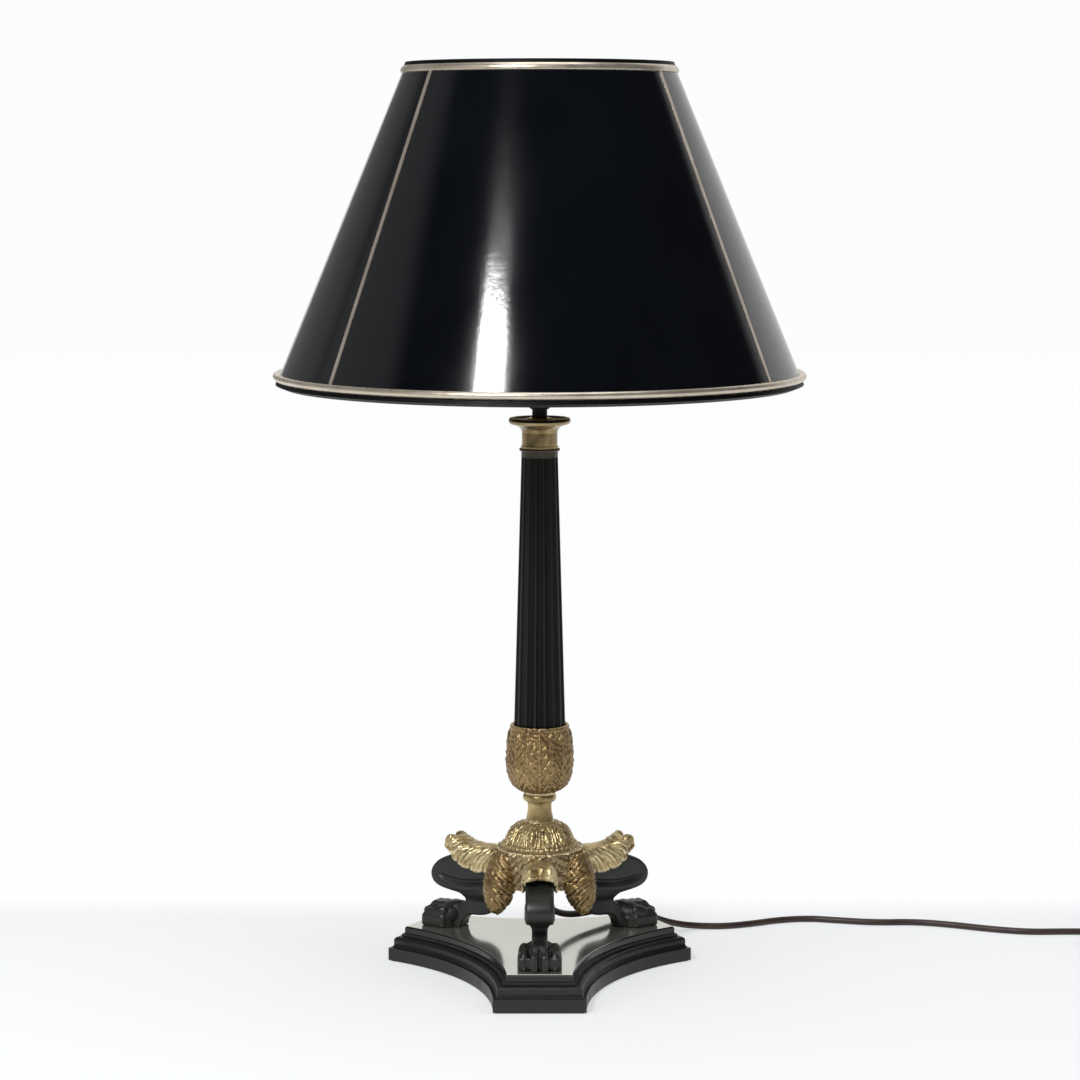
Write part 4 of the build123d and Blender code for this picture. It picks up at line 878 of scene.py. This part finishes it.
def pendant_leaf():
    """The leaf that hangs behind: full across its middle, wrapped round the hub, its tip outwards.
    Its centre, depth and half width are given along its height above the table."""
    centre = [(45, 34.2), (47.6, 33.2), (53.3, 31.4), (61.5, 29.5), (70.5, 29), (85.5, 29)]
    depth = [(45, 2.6), (47.6, 5.6), (53.3, 9.6), (61.5, 12.2), (70.5, 11.2), (78.5, 8.2), (85.5, 4.6)]
    half = [(45, 2.8), (47.6, 6.9), (53.3, 11.6), (61.5, 13.8), (70.5, 13.0), (78.5, 10.6), (85.5, 8.0)]
    lobes, slant = 5, 2.2
    root_wrap, wrap_lost = 118, 16         # degrees to each side at the root, and fewer at the tip
    long_steps, wide_steps = 120, 84
    rows = []
    for i in range(long_steps + 1):
        s = i / long_steps
        level = leaf_high - s * (leaf_high - leaf_low)
        scallop = scalloped(s, lobes, slant, 0.10)
        row = []
        for j in range(wide_steps + 1):
            t = 2 * j / wide_steps - 1
            turn = radians(root_wrap - wrap_lost * s) * t
            relief = 1.7 * acanthus(s, t, lobes, slant) - 1.5
            wide = (through(half, level) + relief) * scallop
            deep = through(depth, level) + relief
            row.append((wide * sin(turn), through(centre, level) + deep * cos(turn),
                        level - 1.6 * abs(t) ** 2 * s))
        rows.append(row)
    return grid_mesh("pendant_leaf_back_cast", rows)


pendant_back = finished("pendant_leaf_back_cast", pendant_leaf(), "stand", "antique_gilt",
                        ["pendant_leaf_back"])
thicken(pendant_back, thickness=1.6)
chased(pendant_back, amount=0.55, scale=2.8, seed=3)
for side, angle in (("left", 120), ("right", -120)):
    turned_copy(pendant_back, f"pendant_leaf_{side}_cast", angle, "stand", "antique_gilt",
                [f"pendant_leaf_{side}"])


def thigh_leaf():
    """The leaf over the front thigh: a saddle with scalloped edges, its tip raised and rolled over in two
    lobes. Its reach, rise, half width, drop at the sides and lean outwards are given from root to tip."""
    reach = [(0, 29.3), (0.25, 42.5), (0.45, 52.5), (0.60, 59.5), (0.72, 64.4), (0.80, 67.0), (0.88, 68.3),
             (0.95, 68.1), (1.0, 66.9)]
    rise = [(0, 4), (0.25, 3.6), (0.45, 4.3), (0.60, 7.2), (0.72, 8.5), (0.80, 7.6), (0.88, 4.8), (0.95, 1.6),
            (1.0, -0.8)]
    half = [(0, 11), (0.5, 11.2), (0.68, 10.8), (0.8, 10.2), (0.9, 9.8), (1.0, 9.4)]
    drop = [(0, 17.3), (0.25, 16.6), (0.45, 15.2), (0.60, 14.6), (0.72, 12.6), (0.80, 9.6), (0.88, 8.0),
            (1.0, 7.0)]
    lean = [(0, 0), (0.62, 0), (0.75, 18), (0.86, 62), (1.0, 74)]
    lobes, slant = 5, 1.8
    squareness = 0.62                      # 1 is a round section, less is a squarer one
    long_steps, wide_steps = 150, 96
    rows = []
    for i in range(long_steps + 1):
        s = i / long_steps
        tip = rising(s, 0.64, 0.12)
        back = radians(through(lean, s))
        fall_full = through(drop, s) * scalloped(s, lobes, slant, 0.14 * (1 - tip))
        row = []
        for j in range(wide_steps + 1):
            t = 2 * j / wide_steps - 1
            a = t * pi / 2
            side, level = sin(a), cos(a)
            leafage = 2.1 * acanthus(s, t, lobes, slant) - 1.6
            rolled = 2.2 * bell(abs(t) - 0.30, 0.17) - 3.6 * bell(t, 0.12) - 0.7
            rolled += 1.2 * rising(s, 0.93, 0.05)
            relief = (1 - tip) * leafage + tip * rolled
            toward = 1 if side > 0 else -1
            sideways = through(half, s) * (abs(side) ** squareness) * toward + relief * side
            fall = fall_full * (1 - level**squareness)
            out = through(reach, s) - fall * sin(back) + relief * level * sin(back)
            up = crown_level + through(rise, s) - fall * cos(back) + relief * level * cos(back)
            up += 2.3 * bell(t, 0.4) * rising(s, 0.88, 0.1)
            row.append((sideways, -out, up))
        rows.append(row)
    return grid_mesh("thigh_leaf_front_cast", rows)


thigh_front = finished("thigh_leaf_front_cast", thigh_leaf(), "stand", "gilt_bronze",
                       ["thigh_leaf_front"])
thicken(thigh_front, thickness=1.1)
chased(thigh_front, amount=0.35, scale=2.8, seed=11)
for side, angle in (("right", 120), ("left", 240)):
    turned_copy(thigh_front, f"thigh_leaf_{side}_cast", angle, "stand", "gilt_bronze",
                [f"thigh_leaf_{side}"])


# ------------------------------------------------------------------ legs
plate_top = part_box("plinth_plate")[1].z / MM
leg_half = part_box("leg_front")[1].x / MM


def blob(bm, centre, radii, tilt=0.0):
    """Adds an egg shape; its second radius lies along the leg, and tilt lifts its outer end, in degrees."""
    turn = Matrix.Rotation(radians(-tilt), 4, "X")
    scale = Matrix.Diagonal((*(radius * MM for radius in radii), 1))
    place = Matrix.Translation(Vector(centre) * MM) @ turn @ scale
    bmesh.ops.create_icosphere(bm, subdivisions=4, radius=1, matrix=place)


def smoothed(piece, rounds):
    """Eases the corners of a piece, and turns its modifiers into its mesh."""
    easing = piece.modifiers.new("easing", "SMOOTH")
    easing.factor = 0.5
    easing.iterations = rounds
    settle(piece)


def fused(piece, voxel, rounds):
    """Joins a piece's parts into one skin, and eases its corners."""
    skin = piece.modifiers.new("skin", "REMESH")
    skin.mode = "VOXEL"
    skin.voxel_size = voxel * MM
    smoothed(piece, rounds)


def leg_form():
    """The front leg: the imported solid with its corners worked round, then a paw with toes and claws.
    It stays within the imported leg's box. out is the distance from the lamp's axis, high the height."""
    knee_round, knee_swell = 1.3, 1.8
    toe_gap = 6.7
    toe_groove, flank_groove, flank_ridge = 2.1, 1.7, 0.7
    leg = bpy.data.objects.new("leg_front_cast", nodes["leg_front"].data.copy())
    scene.collection.objects.link(leg)
    fused(leg, voxel=0.8, rounds=14)
    for vertex in leg.data.vertices:
        place = vertex.co
        out, high = -place.y / MM, place.z / MM
        knee = rising(out, 58, 16) * rising(high, 43, 6)
        place.y += knee_round * MM * knee * min(abs(place.x / MM) / leg_half, 1) ** 2.4
        place.y -= knee_swell * MM * rising(out, 58, 14) * rising(high, 46, 5) * (1 - rising(high, 69, 7))

    bm = bmesh.new()
    bm.from_mesh(leg.data)
    for k in range(4):
        sideways = (k - 1.5) * toe_gap
        back, root_height = (3.0, 9.6) if k in (0, 3) else (0.0, 11.0)
        blob(bm, (sideways, -76.5 + back, plate_top + root_height), (3.9, 7.5, 5.0), -24)
        blob(bm, (sideways, -82.6 + back, plate_top + 6.9), (3.6, 5.0, 5.9), -38)
        blob(bm, (sideways, -85.3 + back, plate_top + 3.3), (3.3, 3.4, 3.5))
        blob(bm, (sideways, -88.0 + back, plate_top + 1.7), (1.4, 1.9, 1.7))
    blob(bm, (0, -71, plate_top + 8.4), (12.0, 12, 8.2), -6)             # the paw behind the toes
    blob(bm, (0, -76, plate_top + 12.6), (4.2, 7.5, 3.6), -16)           # its back
    blob(bm, (0, -64, plate_top + 14), (5.4, 8, 3.6), -6)                # the instep
    bm.to_mesh(leg.data)
    bm.free()
    fused(leg, voxel=0.55, rounds=3)

    flank_line = [(32, 60.5), (45, 57.8), (58, 56.8), (70, 58.5), (78, 62)]
    moves = []
    for vertex in leg.data.vertices:
        place, facing = vertex.co / MM, vertex.normal
        out = -place.y
        gap = min(abs(place.x), abs(abs(place.x) - toe_gap))
        cut = toe_groove * bell(gap, 0.8) * rising(out, 72, 6) * (1 - rising(place.z - plate_top, 12.5, 4))
        line = through(flank_line, out)
        flank = rising(abs(facing.x), 0.3, 0.3) * rising(out, 34, 8) * (1 - rising(out, 70, 7))
        flank *= rising(place.z, 43, 4)
        cut += flank * (flank_groove * bell(place.z - line, 1.5)
                        - flank_ridge * bell(place.z - line + 4.2, 2.0))
        moves.append(facing * -cut * MM)
    for vertex, move in zip(leg.data.vertices, moves):
        vertex.co += move
    smoothed(leg, rounds=2)

    low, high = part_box("leg_front")
    for vertex in leg.data.vertices:
        place = vertex.co
        place.x = min(max(place.x, low.x), high.x)
        place.y = max(place.y, low.y)
        place.z = min(max(place.z, low.z), high.z)
    return leg


leg_front = leg_form()
paint(leg_front, "dark_bronze")
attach(leg_front, "stand")
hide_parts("leg_front")
for side, angle in (("right", 120), ("left", 240)):
    turned_copy(leg_front, f"leg_{side}_cast", angle, "stand", "dark_bronze", [f"leg_{side}"])
